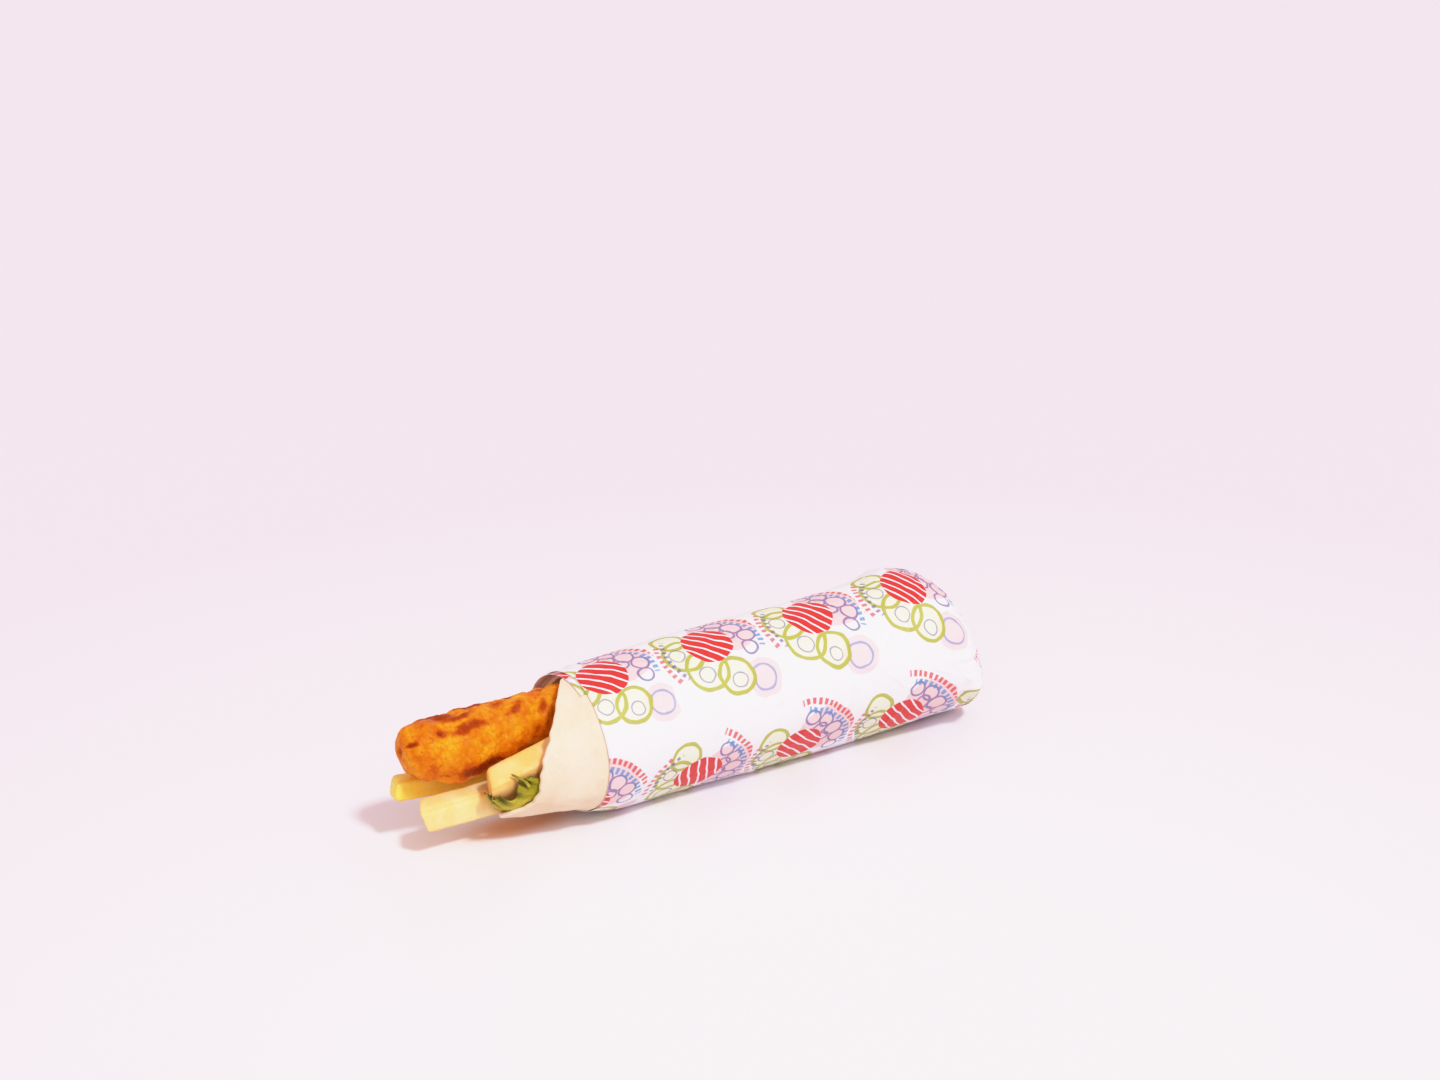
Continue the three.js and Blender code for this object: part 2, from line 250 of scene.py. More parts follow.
def centreHeight(x):
    windingAtBottom = (sleeve["startAngle"] + 90) / 360
    return paperInner(x) + windingAtBottom * sleeve["layerPitch"] + sleeve["cadThickness"] - roll["restFlat"]


def ringPoint(x, angle, radius, floor=farBelow):
    # a point of the roll, where the roll's own weight and the lean of its closed end leave it
    a = np.radians(angle)
    atEnd = smoothStep(x, *roll["endLiftRise"])
    sides = sum(bell(turnBetween(angle, 270 + turn), 0, roll["sagHalf"]) for turn in (-roll["sagAt"], roll["sagAt"]))
    flatter = roll["flatter"] * bell(turnBetween(angle, roll["flatterAt"]), 0, roll["flatterHalf"])
    sag = roll["sag"] * sides * smoothStep(x, *roll["sagRise"])
    sag = (sag - flatter * smoothStep(x, *roll["flatterRise"]) * (1 - atEnd)) * smoothStep(radius, *roll["skinRadius"])
    z = np.maximum(centreHeight(x) + (radius + sag) * np.sin(a), floor)
    lost = roll["mouthLiftLost"] * smoothStep(-x, *roll["mouthLiftFall"])
    lift = roll["mouthLift"] * (smoothStep(-x, *roll["mouthLiftRise"]) * (1 - lost)) + roll["endLift"] * atEnd
    z = z + lift * smoothStep(-np.sin(a), *roll["liftLow"]) * smoothStep(radius, *roll["liftRadius"])
    lean = roll["endLean"] * smoothStep(x, roll["length"] - roll["endLeanLength"], roll["length"])
    x, y, z = np.broadcast_arrays(x - lean * z, (radius + sag) * np.cos(a), z)
    return np.stack([x, y, z], -1)


# The paper sleeve: one sheet wound nearly a turn and a half, gathered in pleats over the far end
def creaseHeight(x, angle):
    # sharp short creases at random places and directions, over slow waves
    s = sleeve
    draw = np.random.default_rng(s["creaseSeed"])
    height = np.zeros(np.broadcast(x, angle).shape)
    for _ in range(s["creases"]):
        atX, atAngle = draw.uniform(*s["creaseX"]), draw.uniform(0, 360)
        direction = math.radians(draw.choice(s["creaseDirections"]) + draw.uniform(-s["creaseSwing"], s["creaseSwing"]))
        halfLength, width = draw.uniform(*s["creaseHalfLength"]), draw.uniform(*s["creaseWidth"])
        depth = s["creaseDepth"] * draw.uniform(*s["creaseShare"]) * draw.choice([-1, 1])
        along = x - atX
        around = np.radians(turnBetween(angle, atAngle)) * s["aboutRadius"]
        forward = along * math.cos(direction) + around * math.sin(direction)
        sideways = -along * math.sin(direction) + around * math.cos(direction) + s["creaseBow"] * forward ** 2
        height += depth * np.exp(-np.abs(sideways) / width) * np.exp(-((forward / halfLength) ** 2))
    a = np.radians(angle)
    slow = np.sin(x * 0.11 + 2 * a) * np.sin(3 * a - x * 0.045) + 0.6 * np.sin(x * 0.047 - a + 1)
    return height + s["slowWave"] * slow


def pleatHeight(angle, inward):
    # each pleat rises slowly and falls back steeply; inward runs from 0 at the wall to 1 at the end's middle
    s = sleeve
    phase = (angle - s["startAngle"]) * s["pleats"] / 360 + s["pleatTwist"] * inward
    saw = (phase + s["pleatUneven"] * np.sin(np.radians(3 * angle))) % 1
    rise = s["pleatRise"]
    fold = np.sin(np.pi * np.minimum(saw / rise, (1 - saw) / (1 - rise) * 0.5 + 0.5 * (saw > rise))) ** s["pleatPower"]
    fine = s["pleatCrumple"] * np.sin(np.radians(angle) * 31 + 4 * inward)
    return s["pleatDepth"] * (fold + fine)


def makeSleeve(materials):
    s = sleeve
    wind = np.concatenate([
        np.linspace(0, s["hiddenDegrees"], s["hiddenColumns"])[:-1],
        np.linspace(s["hiddenDegrees"], s["wound"], s["shownColumns"]),
    ])[None, :]
    wallRows, cornerRows, endRows = s["wallRows"], s["cornerRows"], s["endRows"]
    share = np.concatenate([np.linspace(0, 1, wallRows), np.ones(cornerRows + endRows)])[:, None]
    turn = np.concatenate([np.zeros(wallRows), np.linspace(0, 90, cornerRows + 1)[1:], np.full(endRows, 90)])
    turn = np.radians(turn)[:, None]
    inward = np.concatenate([np.zeros(wallRows + cornerRows), np.linspace(0, 1, endRows + 1)[1:]])[:, None]

    # the wall, the rounded edge of the closed end, and the end itself
    angle = s["startAngle"] - wind
    stray = s["edgeWave"] * np.sin(np.radians(wind * 4)) * np.sin(np.radians(wind * 1.3))
    front = -s["innerEdgeReach"] * (1 - wind / 360) + stray
    low = s["lowCorner"]
    corner = s["cornerRadius"] - low["tighter"] * bell(turnBetween(angle, low["angle"]), 0, low["halfAngle"])
    x = front + (roll["length"] - corner - front) * share
    x = x + corner * np.sin(turn) - s["endDish"] * inward
    flatWidth = paperInner(roll["length"]) - corner - s["endHole"]
    inset = corner * (1 - np.cos(turn)) + flatWidth * inward
    alongX = np.sin(turn)
    outOfWall = np.sqrt(1 - np.minimum(alongX, 1) ** 2)

    bulge, ear = s["bulge"], s["ear"]
    raised = bulge["height"] * np.maximum(0, np.cos(np.radians(turnBetween(angle, bulge["angle"]))))
    raised = raised * bell(x, bulge["x"], bulge["halfLength"])
    raised = raised + (ear["height"] * bell(turnBetween(angle, ear["angle"]), 0, ear["halfAngle"])
                       * bell(x, ear["x"], ear["halfLength"]) * (1 - alongX))
    shoulderFrom, shoulderTo = (roll["length"] - back for back in s["shoulder"])
    gathered = smoothStep(x, shoulderFrom, shoulderTo) * outOfWall * (1 - inward)
    folded = s["shoulderFold"] * gathered * (1 - pleatHeight(angle, 0) / s["pleatDepth"])
    raised = raised + creaseHeight(x, angle) * outOfWall - folded
    pleat = pleatHeight(angle, inward) * smoothStep(inset, *s["pleatInset"])

    sheets = []
    for w in (1.0, 1 - s["paperThickness"] / s["cadThickness"]):
        layer = s["lapPitch"] * wind / 360 + s["cadThickness"] * w
        radius = np.maximum(paperInner(x) - inset + raised + layer * outOfWall, s["leastRadius"])
        points = ringPoint(x, angle, radius, s["cadThickness"] * (1 - w) * (1 - alongX))
        points[..., 0] += (layer + pleat) * alongX
        sheets.append(points)

    rows, columns = sheets[0].shape[:2]
    faces = sheetFaces(rows, columns)
    printed = (rows - 1) * (columns - 1)       # faces on the outside
    mesh = makeMesh("paperSleeve", np.concatenate([p.reshape(-1, 3) for p in sheets]), faces)
    mesh.polygons.foreach_set("material_index", [0] * printed + [1] * (len(faces) - printed))

    # The sheet laid out flat: the outer face in one half of the map and the inner one in the other
    across = np.broadcast_to(wind / s["wound"], (rows, columns))
    along = np.zeros((rows, 1))
    along[1:, 0] = np.cumsum(np.linalg.norm(np.diff(sheets[0][:, columns // 2], axis=0), axis=1))
    down = np.broadcast_to(along / sheetMap["down"], (rows, columns))
    flat = np.concatenate([
        np.stack([across, down], -1).reshape(-1, 2), np.stack([across, down + 0.5], -1).reshape(-1, 2),
    ])
    pointOf = np.zeros(len(mesh.loops), int)
    mesh.loops.foreach_get("vertex_index", pointOf)
    mesh.uv_layers.new(name="sheetMap").uv.foreach_set("vector", flat[pointOf].astype(np.float32).ravel())
    return addPiece("paperSleeve", mesh, materials)


# The sheet's map covers this many millimetres: round the winding, and along both faces one after the other
sheetMap = {"around": 267, "down": 460}

# Greaseproof paper, printed by flexography on one side: smooth and dense, so it has a soft satin light on it and
# clean thin inks, with no image, only plain shapes in clusters
printing = {
    "paper": "#F3F0F3",
    "paperShade": "#EAE6EB",
    "plainSide": "#F5E9F1",
    "plainSideShade": "#ECDCE7",
    "red": "#D22A26",
    "green": "#A0A418",
    "paleGreen": "#E2E6AE",
    "pink": "#EDA6A2",
    "violet": "#5C5590",
    "blue": "#4C86BC",
    "clusterAround": 58,       # from one row of clusters to the next
    "clusterAlong": 48,
    "rowShift": 31,            # of every second row
    "clusterSwing": 35,        # degrees that a cluster may be turned either way
    "firstRow": 105,
    "firstAlong": 30,
    "waver": 2.2,              # how far the hand-cut outlines stray
    "waverSize": 8,
    "edge": 0.16,              # softness of an inked edge
    "creaseNet": 21,           # from one faint crease to the next
    "creaseStray": 6,          # how far they bend
}


def makePrintedPaper():
    material, tree, shader = newMaterial("greaseproofPrinted")
    p = printing
    sheet = addNode(tree, "ShaderNodeUVMap", {"uv_map": "sheetMap"})
    sheet = addNode(tree, "ShaderNodeMapping", None, {
        "Vector": sheet, "Scale": (sheetMap["around"], sheetMap["down"], 0),
        "Location": (-p["firstRow"], p["firstAlong"], 0)})

    # hand-cut outlines
    waver = addNode(tree, "ShaderNodeTexNoise", None, {"Vector": sheet, "Scale": 1 / p["waverSize"], "Detail": 1.0})
    waver = addNode(tree, "ShaderNodeVectorMath", {"operation": "MULTIPLY_ADD"}, {
        0: waver.outputs["Color"], 1: (p["waver"], p["waver"], 0), 2: (-p["waver"] / 2, -p["waver"] / 2, 0)})
    drawn = addNode(tree, "ShaderNodeVectorMath", {"operation": "ADD"}, {0: sheet, 1: waver})

    # every second row of clusters is shifted, and each cluster is turned a little
    cell = (p["clusterAround"], p["clusterAlong"], 1)
    rowOf = addNode(tree, "ShaderNodeSeparateXYZ", None, {0: drawn})
    row = addNode(tree, "ShaderNodeMath", {"operation": "DIVIDE"}, {0: rowOf.outputs["X"], 1: cell[0]})
    row = addNode(tree, "ShaderNodeMath", {"operation": "FLOOR"}, {0: row})
    shift = addNode(tree, "ShaderNodeMath", {"operation": "PINGPONG"}, {0: row, 1: 1})
    shift = addNode(tree, "ShaderNodeMath", {"operation": "MULTIPLY"}, {0: shift, 1: p["rowShift"]})
    shift = addNode(tree, "ShaderNodeCombineXYZ", None, {"Y": shift})
    shifted = addNode(tree, "ShaderNodeVectorMath", {"operation": "ADD"}, {0: drawn, 1: shift})
    place = addNode(tree, "ShaderNodeVectorMath", {"operation": "DIVIDE"}, {0: shifted, 1: cell})
    tile = addNode(tree, "ShaderNodeVectorMath", {"operation": "FLOOR"}, {0: place})
    local = addNode(tree, "ShaderNodeVectorMath", {"operation": "FRACTION"}, {0: place})
    local = addNode(tree, "ShaderNodeVectorMath", {"operation": "SUBTRACT"}, {0: local, 1: (0.5, 0.5, 0)})
    local = addNode(tree, "ShaderNodeVectorMath", {"operation": "MULTIPLY"}, {0: local, 1: (cell[0], cell[1], 0)})
    chance = addNode(tree, "ShaderNodeTexWhiteNoise", {"noise_dimensions": "2D"}, {"Vector": tile}).outputs["Value"]
    most = math.radians(p["clusterSwing"])
    swing = addNode(tree, "ShaderNodeMapRange", None, {"Value": chance, "To Min": -most, "To Max": most})
    local = addNode(tree, "ShaderNodeVectorRotate", {"rotation_type": "Z_AXIS"}, {"Vector": local, "Angle": swing})

    def farFrom(centre):
        far = addNode(tree, "ShaderNodeVectorMath", {"operation": "DISTANCE"}, {0: local, 1: (*centre, 0)})
        return far.outputs["Value"]

    def inside(distance, limit, edge=p["edge"]):
        return addNode(tree, "ShaderNodeMapRange", None, {
            "Value": distance, "From Min": limit - edge, "From Max": limit + edge, "To Min": 1.0, "To Max": 0.0})

    def together(masks, how="MAXIMUM"):
        whole = masks[0]
        for mask in masks[1:]:
            whole = addNode(tree, "ShaderNodeMath", {"operation": how}, {0: whole, 1: mask})
        return whole

    def outline(centre, radius, width):
        distance = farFrom(centre)
        distance = addNode(tree, "ShaderNodeMath", {"operation": "SUBTRACT"}, {0: distance, 1: radius})
        distance = addNode(tree, "ShaderNodeMath", {"operation": "ABSOLUTE"}, {0: distance})
        return inside(distance, width / 2)

    def stripes(direction, pitch, share):
        # share of each stripe that is inked
        along = addNode(tree, "ShaderNodeVectorMath", {"operation": "DOT_PRODUCT"}, {
            0: local, 1: (math.cos(direction) / pitch, math.sin(direction) / pitch, 0)})
        wave = addNode(tree, "ShaderNodeMath", {"operation": "PINGPONG"}, {0: along.outputs["Value"], 1: 0.5})
        return inside(wave, share / 2, p["edge"] / pitch)

    def ticks(radius, height, count, share, start, end):
        # a curved row of short ticks, between two angles in turns
        parts = addNode(tree, "ShaderNodeSeparateXYZ", None, {0: local})
        turn = addNode(tree, "ShaderNodeMath", {"operation": "ARCTAN2"}, {0: parts.outputs["Y"], 1: parts.outputs["X"]})
        turn = addNode(tree, "ShaderNodeMath", {"operation": "DIVIDE"}, {0: turn, 1: math.tau})
        wave = addNode(tree, "ShaderNodeMath", {"operation": "MULTIPLY"}, {0: turn, 1: count})
        wave = addNode(tree, "ShaderNodeMath", {"operation": "PINGPONG"}, {0: wave, 1: 0.5})
        middle = addNode(tree, "ShaderNodeMath", {"operation": "SUBTRACT"}, {0: turn, 1: (start + end) / 2})
        middle = addNode(tree, "ShaderNodeMath", {"operation": "ABSOLUTE"}, {0: middle})
        return together([
            inside(wave, share / 2, 0.08), inside(middle, (end - start) / 2, 0.002),
            outline((0, 0), radius, height)], "MULTIPLY")

    # centres and radii, in millimetres from a cluster's middle
    petals = [((-9, -7), 8.6), ((1, -12.5), 8.2), ((-15, 3.5), 7.4), ((11.5, -13), 6.4)]
    pips = [((-11, -8), 3.4), ((1.5, -15), 3.2), ((-17, 4), 3.0)]
    beads = [((8, 15), 3.9), ((14.5, 11), 3.5), ((1, 17.5), 3.6), ((18, 4.5), 3.2), ((10.5, 8), 3.2),
             ((-5.5, 15.5), 3.2), ((4, 10.5), 2.8)]
    disc = inside(farFrom((3, 0)), 10.4)
    # each ink, where it lies, and how dense it is
    layers = [
        (p["pink"], inside(farFrom((8, 11)), 13.5), 0.6),
        (p["pink"], inside(farFrom((-19, 15)), 8.0), 0.5),
        (p["blue"], outline((-19, 15), 5.2, 1.0), 0.7),
        (p["paleGreen"], together([inside(farFrom(c), r) for c, r in petals]), 0.6),
        (p["green"], together([outline(c, r, 1.7) for c, r in petals]), 0.9),
        (p["violet"], together([outline(c, r, 0.7) for c, r in pips]), 0.7),
        (p["violet"], together([outline(c, r, 1.0) for c, r in beads]), 0.8),
        (p["paper"], disc, 1.0),
        (p["red"], together([disc, stripes(0.9, 3.9, 0.8)], "MULTIPLY"), 1.0),
        (p["blue"], ticks(21.8, 2.6, 50, 0.62, 0.02, 0.3), 0.85),
        (p["red"], ticks(25.4, 2.6, 58, 0.6, 0.0, 0.27), 0.85),
        (p["violet"], ticks(19.5, 1.8, 44, 0.5, -0.34, -0.14), 0.8),
        (p["red"], ticks(22.5, 2.2, 50, 0.55, -0.33, -0.17), 0.8),
    ]
    # the paper's cloudy formation, in clouds of about 3 mm
    formation = addNode(tree, "ShaderNodeTexNoise", None, {"Vector": sheet, "Scale": 0.35, "Detail": 4.0})
    paper = addNode(tree, "ShaderNodeMix", {"data_type": "RGBA"}, {
        "Factor": formation, 6: p["paper"], 7: p["paperShade"]})
    colour = paper.outputs[2]
    for ink, mask, strength in layers:
        amount = addNode(tree, "ShaderNodeMath", {"operation": "MULTIPLY"}, {0: mask, 1: strength})
        mix = addNode(tree, "ShaderNodeMix", {"data_type": "RGBA"}, {"Factor": amount, 6: colour, 7: ink})
        colour = mix.outputs[2]

    # paper fibres are finer than a pixel here, so the grain is drawn at 0.6 mm; damp cockles the paper over 11 mm
    fibre = addNode(tree, "ShaderNodeTexNoise", None, {"Vector": sheet, "Scale": 1.6, "Detail": 3.0})
    cockle = addNode(tree, "ShaderNodeTexNoise", None, {
        "Vector": sheet, "Scale": 0.09, "Detail": 2.0, "Distortion": 0.6})
    bump = addNode(tree, "ShaderNodeBump", None, {"Height": fibre, "Distance": 0.00004, "Strength": 0.5})
    bump = addNode(tree, "ShaderNodeBump", None, {
        "Height": cockle, "Distance": 0.0012, "Strength": 0.5, "Normal": bump})
    # handling leaves a broken net of faint sharp creases
    bent = addNode(tree, "ShaderNodeTexNoise", None, {"Vector": sheet, "Scale": 0.06, "Detail": 1.0})
    bent = addNode(tree, "ShaderNodeVectorMath", {"operation": "MULTIPLY_ADD"}, {
        0: bent.outputs["Color"], 1: (p["creaseStray"], p["creaseStray"], 0), 2: sheet})
    crease = addNode(tree, "ShaderNodeTexVoronoi", {"feature": "DISTANCE_TO_EDGE", "voronoi_dimensions": "2D"}, {
        "Vector": bent, "Scale": 1 / p["creaseNet"]})
    crease = addNode(tree, "ShaderNodeMapRange", None, {
        "Value": crease.outputs["Distance"], "From Max": 0.07, "To Min": 1.0, "To Max": 0.0})
    kept = addNode(tree, "ShaderNodeMapRange", None, {"Value": cockle, "From Min": 0.45, "From Max": 0.62})
    crease = addNode(tree, "ShaderNodeMath", {"operation": "MULTIPLY"}, {0: crease, 1: kept})
    bump = addNode(tree, "ShaderNodeBump", None, {
        "Height": crease, "Distance": 0.0006, "Strength": 0.5, "Normal": bump})
    setSockets(tree, shader, {
        "Base Color": colour, "Roughness": 0.46, "IOR": 1.5, "Specular IOR Level": 0.4, "Normal": bump,
        "Subsurface Weight": 0.12, "Subsurface Radius": (0.0012, 0.001, 0.0009), "Subsurface Scale": 1.0})
    return material


def makePlainPaper():
    # the unprinted side of the same paper: a little greyer, because what lies behind shows through, in clouds of
    # about 6 mm
    material, tree, shader = newMaterial("greaseproofPlain")
    place = addNode(tree, "ShaderNodeTexCoord").outputs["Object"]
    cloud = addNode(tree, "ShaderNodeTexNoise", None, {"Vector": place, "Scale": 180, "Detail": 4.0})
    colour = addNode(tree, "ShaderNodeMix", {"data_type": "RGBA"}, {
        "Factor": cloud, 6: printing["plainSide"], 7: printing["plainSideShade"]})
    bump = addNode(tree, "ShaderNodeBump", None, {"Height": cloud, "Distance": 0.0001, "Strength": 0.4})
    setSockets(tree, shader, {
        "Base Color": colour.outputs[2], "Roughness": 0.5, "IOR": 1.5, "Specular IOR Level": 0.4, "Normal": bump})
    return material


paperSleeve = makeSleeve([makePrintedPaper(), makePlainPaper()])
print("paper sleeve wound and printed")

# The flatbread: soft white dough baked on a hot plate, so it is matt, cream, a little blistered, with faint toasting
bread = {
    "mouthRadius": 27.6,
    "taper": 0.09,             # radius lost for each millimetre of reach
    "taperCurve": 0.0021,      # and for its square
    "thickness": 1.7,
    "cavityDepth": 14,
    "clearance": 0.45,         # to the paper round it
    "farGap": 12.5,            # from the bread's far end to the roll's
    "farRound": 5,
    "wave": 0.3,
    "turnPitch": 6.5,          # thickness of one turn of the roll, as it shows on the cavity's floor
    "turnDepth": 2.2,
    "columns": 256,
    "wallRows": 40,
    "lipRows": 8,
    "hiddenFrom": 6,           # behind the mouth; from there back the rows are coarse
    "hiddenRows": 24,
    "farRows": 7,
    "floorRows": 34,
    "reliefRows": 90,          # rows that get blisters and pores, from the cavity out and round the lip
    "reliefReach": -16,
    "aboutRadius": 27,         # the relief is worked out on a tube of this radius
    "ragged": 0.35,            # how uneven the cut edge is
    "blister": 0.3,
    "blisterSize": 6.5,
    "blisterEdge": 0.55,
    "pore": 0.07,
    "poreSize": 2.2,
    "dent": 0.12,
    "dentSize": 9,
    "heldReach": 8,            # further out than this, nothing lies under the bread
    "pressAt": 1.3,            # reach where the bread presses against the paper's edge
    "pressHalf": 2.6,
    "pressGap": 0.22,
    "dough": "#ECD5B9",
    "doughDeep": "#E7CBAA",
    "flour": "#F1DFCA",
    "browned": "#CFA06C",
    # painted shade between the turns of the roll on the mouth's floor
    "turnShadeColour": "#A97C4C",
    # angle and reach of the cut edge: the loose corner is at 232 degrees
    "edge": [(30, -3), (60, -4), (79, -3.5), (86, 3), (98, 7.3), (110, 11.2), (122, 15), (140, 20.2), (159.5, 25.2),
             (173.5, 26.8), (191.5, 27.8), (202, 29.4), (212, 32.2), (222, 36), (232, 39.5), (266, 33), (295, 15),
             (325, 0), (360, -5), (390, -3)],
}


def edgeReach(angle):
    # reach of the cut edge at an angle, nearly straight from one given point to the next
    edge = bread["edge"]
    a = (angle - edge[0][0]) % 360 + edge[0][0]
    i = next(i for i, (at, _) in enumerate(edge) if at > a)
    (a0, s0), (a1, s1) = edge[i - 1], edge[i]
    even = (a - a0) / (a1 - a0)
    return s0 + (s1 - s0) * (0.65 * even + 0.35 * even * even * (3 - 2 * even))


def breadRadius(s):
    # of the outer face, at reach s
    outside = bread["mouthRadius"] - bread["taper"] * s - bread["taperCurve"] * s * s
    return np.where(s > 0, outside, bread["mouthRadius"] + swollen(-s))


def makeBread(materials):
    b = bread
    angle = np.linspace(0, 360, b["columns"], endpoint=False)[None, :]
    turned = np.radians(angle)
    cut = np.array([edgeReach(a) for a in angle[0]])[None, :]
    cut = cut + b["ragged"] * np.sin(turned * 23 + 1) * np.sin(turned * 7) * smoothStep(cut, 0, 12)
    farX = roll["length"] - b["farGap"]

    # rows of (layer from the inner face, reach, inset from the wall): out along the inner face, round the lip, back
    # along the outer face to the mouth and to the far end, and round its edge
    down = np.linspace(0, 1, b["wallRows"])
    rows = [(0.0, -b["cavityDepth"] + (cut + b["cavityDepth"]) * k, 0.0) for k in down[1:-1]]
    rows += [(0.5 - 0.5 * math.cos(math.pi * k), cut + 0.5 * math.sin(math.pi * k), 0.0)
             for k in np.linspace(0, 1, b["lipRows"])]
    rows += [(1.0, cut * (1 - k) - k, 0.0) for k in down[1:]]
    hidden = np.linspace(b["hiddenFrom"], farX - b["farRound"], b["hiddenRows"])
    rows += [(1.0, np.full_like(cut, -x), 0.0) for x in hidden]
    rows += [(1.0, np.full_like(cut, -(farX - b["farRound"] * (1 - math.sin(t)))), b["farRound"] * (1 - math.cos(t)))
             for t in np.linspace(0, math.pi / 2, b["farRows"])[1:]]
    layer = np.array([r[0] for r in rows])[:, None]
    reach = np.concatenate([r[1] for r in rows])
    inset = np.array([r[2] for r in rows])[:, None]
    x = -reach
    free = smoothStep(reach, 1, 12)
    wave = b["wave"] * np.sin(x * 0.21 + turned * 2) * np.sin(turned * 5 + x * 0.08) * free
    about, reliefRows = b["aboutRadius"], b["reliefRows"]
    around = np.stack(np.broadcast_arrays(x, about * np.cos(turned), about * np.sin(turned)), -1)[:reliefRows]
    shown = reach > b["reliefReach"]
    bubbles, _ = cellNoise(around, b["blisterSize"], 3)
    blisters = np.maximum(0, 1 - bubbles / b["blisterEdge"]) ** 1.5
    pores, dents = softNoise(around, b["poreSize"], 5), softNoise(around, b["dentSize"], 8, 2)
    relief = np.zeros(reach.shape)
    relief[:reliefRows] = b["blister"] * blisters + b["pore"] * pores + b["dent"] * dents
    relief = np.where(shown, relief, 0) * smoothStep(reach, -1.5, 2.5) * smoothStep(layer, 0.2, 0.9)

    # pressed against the paper's edge, and kept above the paper where that lies under it
    toPaper = roll["mouthRadius"] - b["mouthRadius"] + sleeve["cadThickness"] - sleeve["paperThickness"] - b["pressGap"]
    wound = (sleeve["startAngle"] - angle) % 360
    toPaper = toPaper + sleeve["lapPitch"] * wound / 360 + creaseHeight(-b["pressAt"], angle)
    relief = relief + toPaper * bell(reach, b["pressAt"], b["pressHalf"]) * layer
    radius = breadRadius(reach) + wave - b["thickness"] * (1 - layer) - inset + relief
    heldAt = sleeve["cadThickness"] + b["clearance"]
    floor = np.where(reach < b["heldReach"], heldAt + b["thickness"] * (1 - layer), farBelow)
    walls = ringPoint(x, angle, radius, floor)

    # the floor of the mouth shows the turns of the roll, edge on
    rings = np.linspace(0, 1, b["floorRows"])[1:, None]
    innerRadius = np.linalg.norm(walls[0, :, 1:] - (0, centreHeight(b["cavityDepth"])), axis=1)[None, :]
    spiral = (rings * innerRadius / b["turnPitch"] - angle / 360) % 1
    fold = np.sin(np.pi * spiral) ** 0.5 - 0.6
    depth = b["cavityDepth"] + b["turnDepth"] * (1 - smoothStep(rings, 0.85, 1)) * (0.5 - fold)
    depth = depth + 0.5 * np.sin(5 * turned + rings * 9) * rings * (1 - rings)
    inside = ringPoint(depth, angle, rings * innerRadius, heldAt + b["thickness"])
    points = np.concatenate([inside, walls])
    tips = np.stack([ringPoint(b["cavityDepth"] + 0.5, 0, 0.0), ringPoint(farX, 0, 0.0)])
    mesh = makeMesh("flatbread", np.concatenate([points.reshape(-1, 3), tips]), tubeFaces(*points.shape[:2]))
    toast, groove = np.zeros((2, *points.shape[:2]))
    toast[len(inside):len(inside) + reliefRows] = np.where(shown & (layer > 0.5), 1, 0.4)[:reliefRows] * blisters
    # painted shade in the hollows between the turns
    groove[:len(inside)] = 1 - np.clip(fold + 0.6, 0, 1)
    for name, values in (("toast", toast), ("groove", groove)):
        addAttribute(mesh, name, np.append(values.ravel(), [0, 0]))
    return addPiece("breadRoll", mesh, materials)


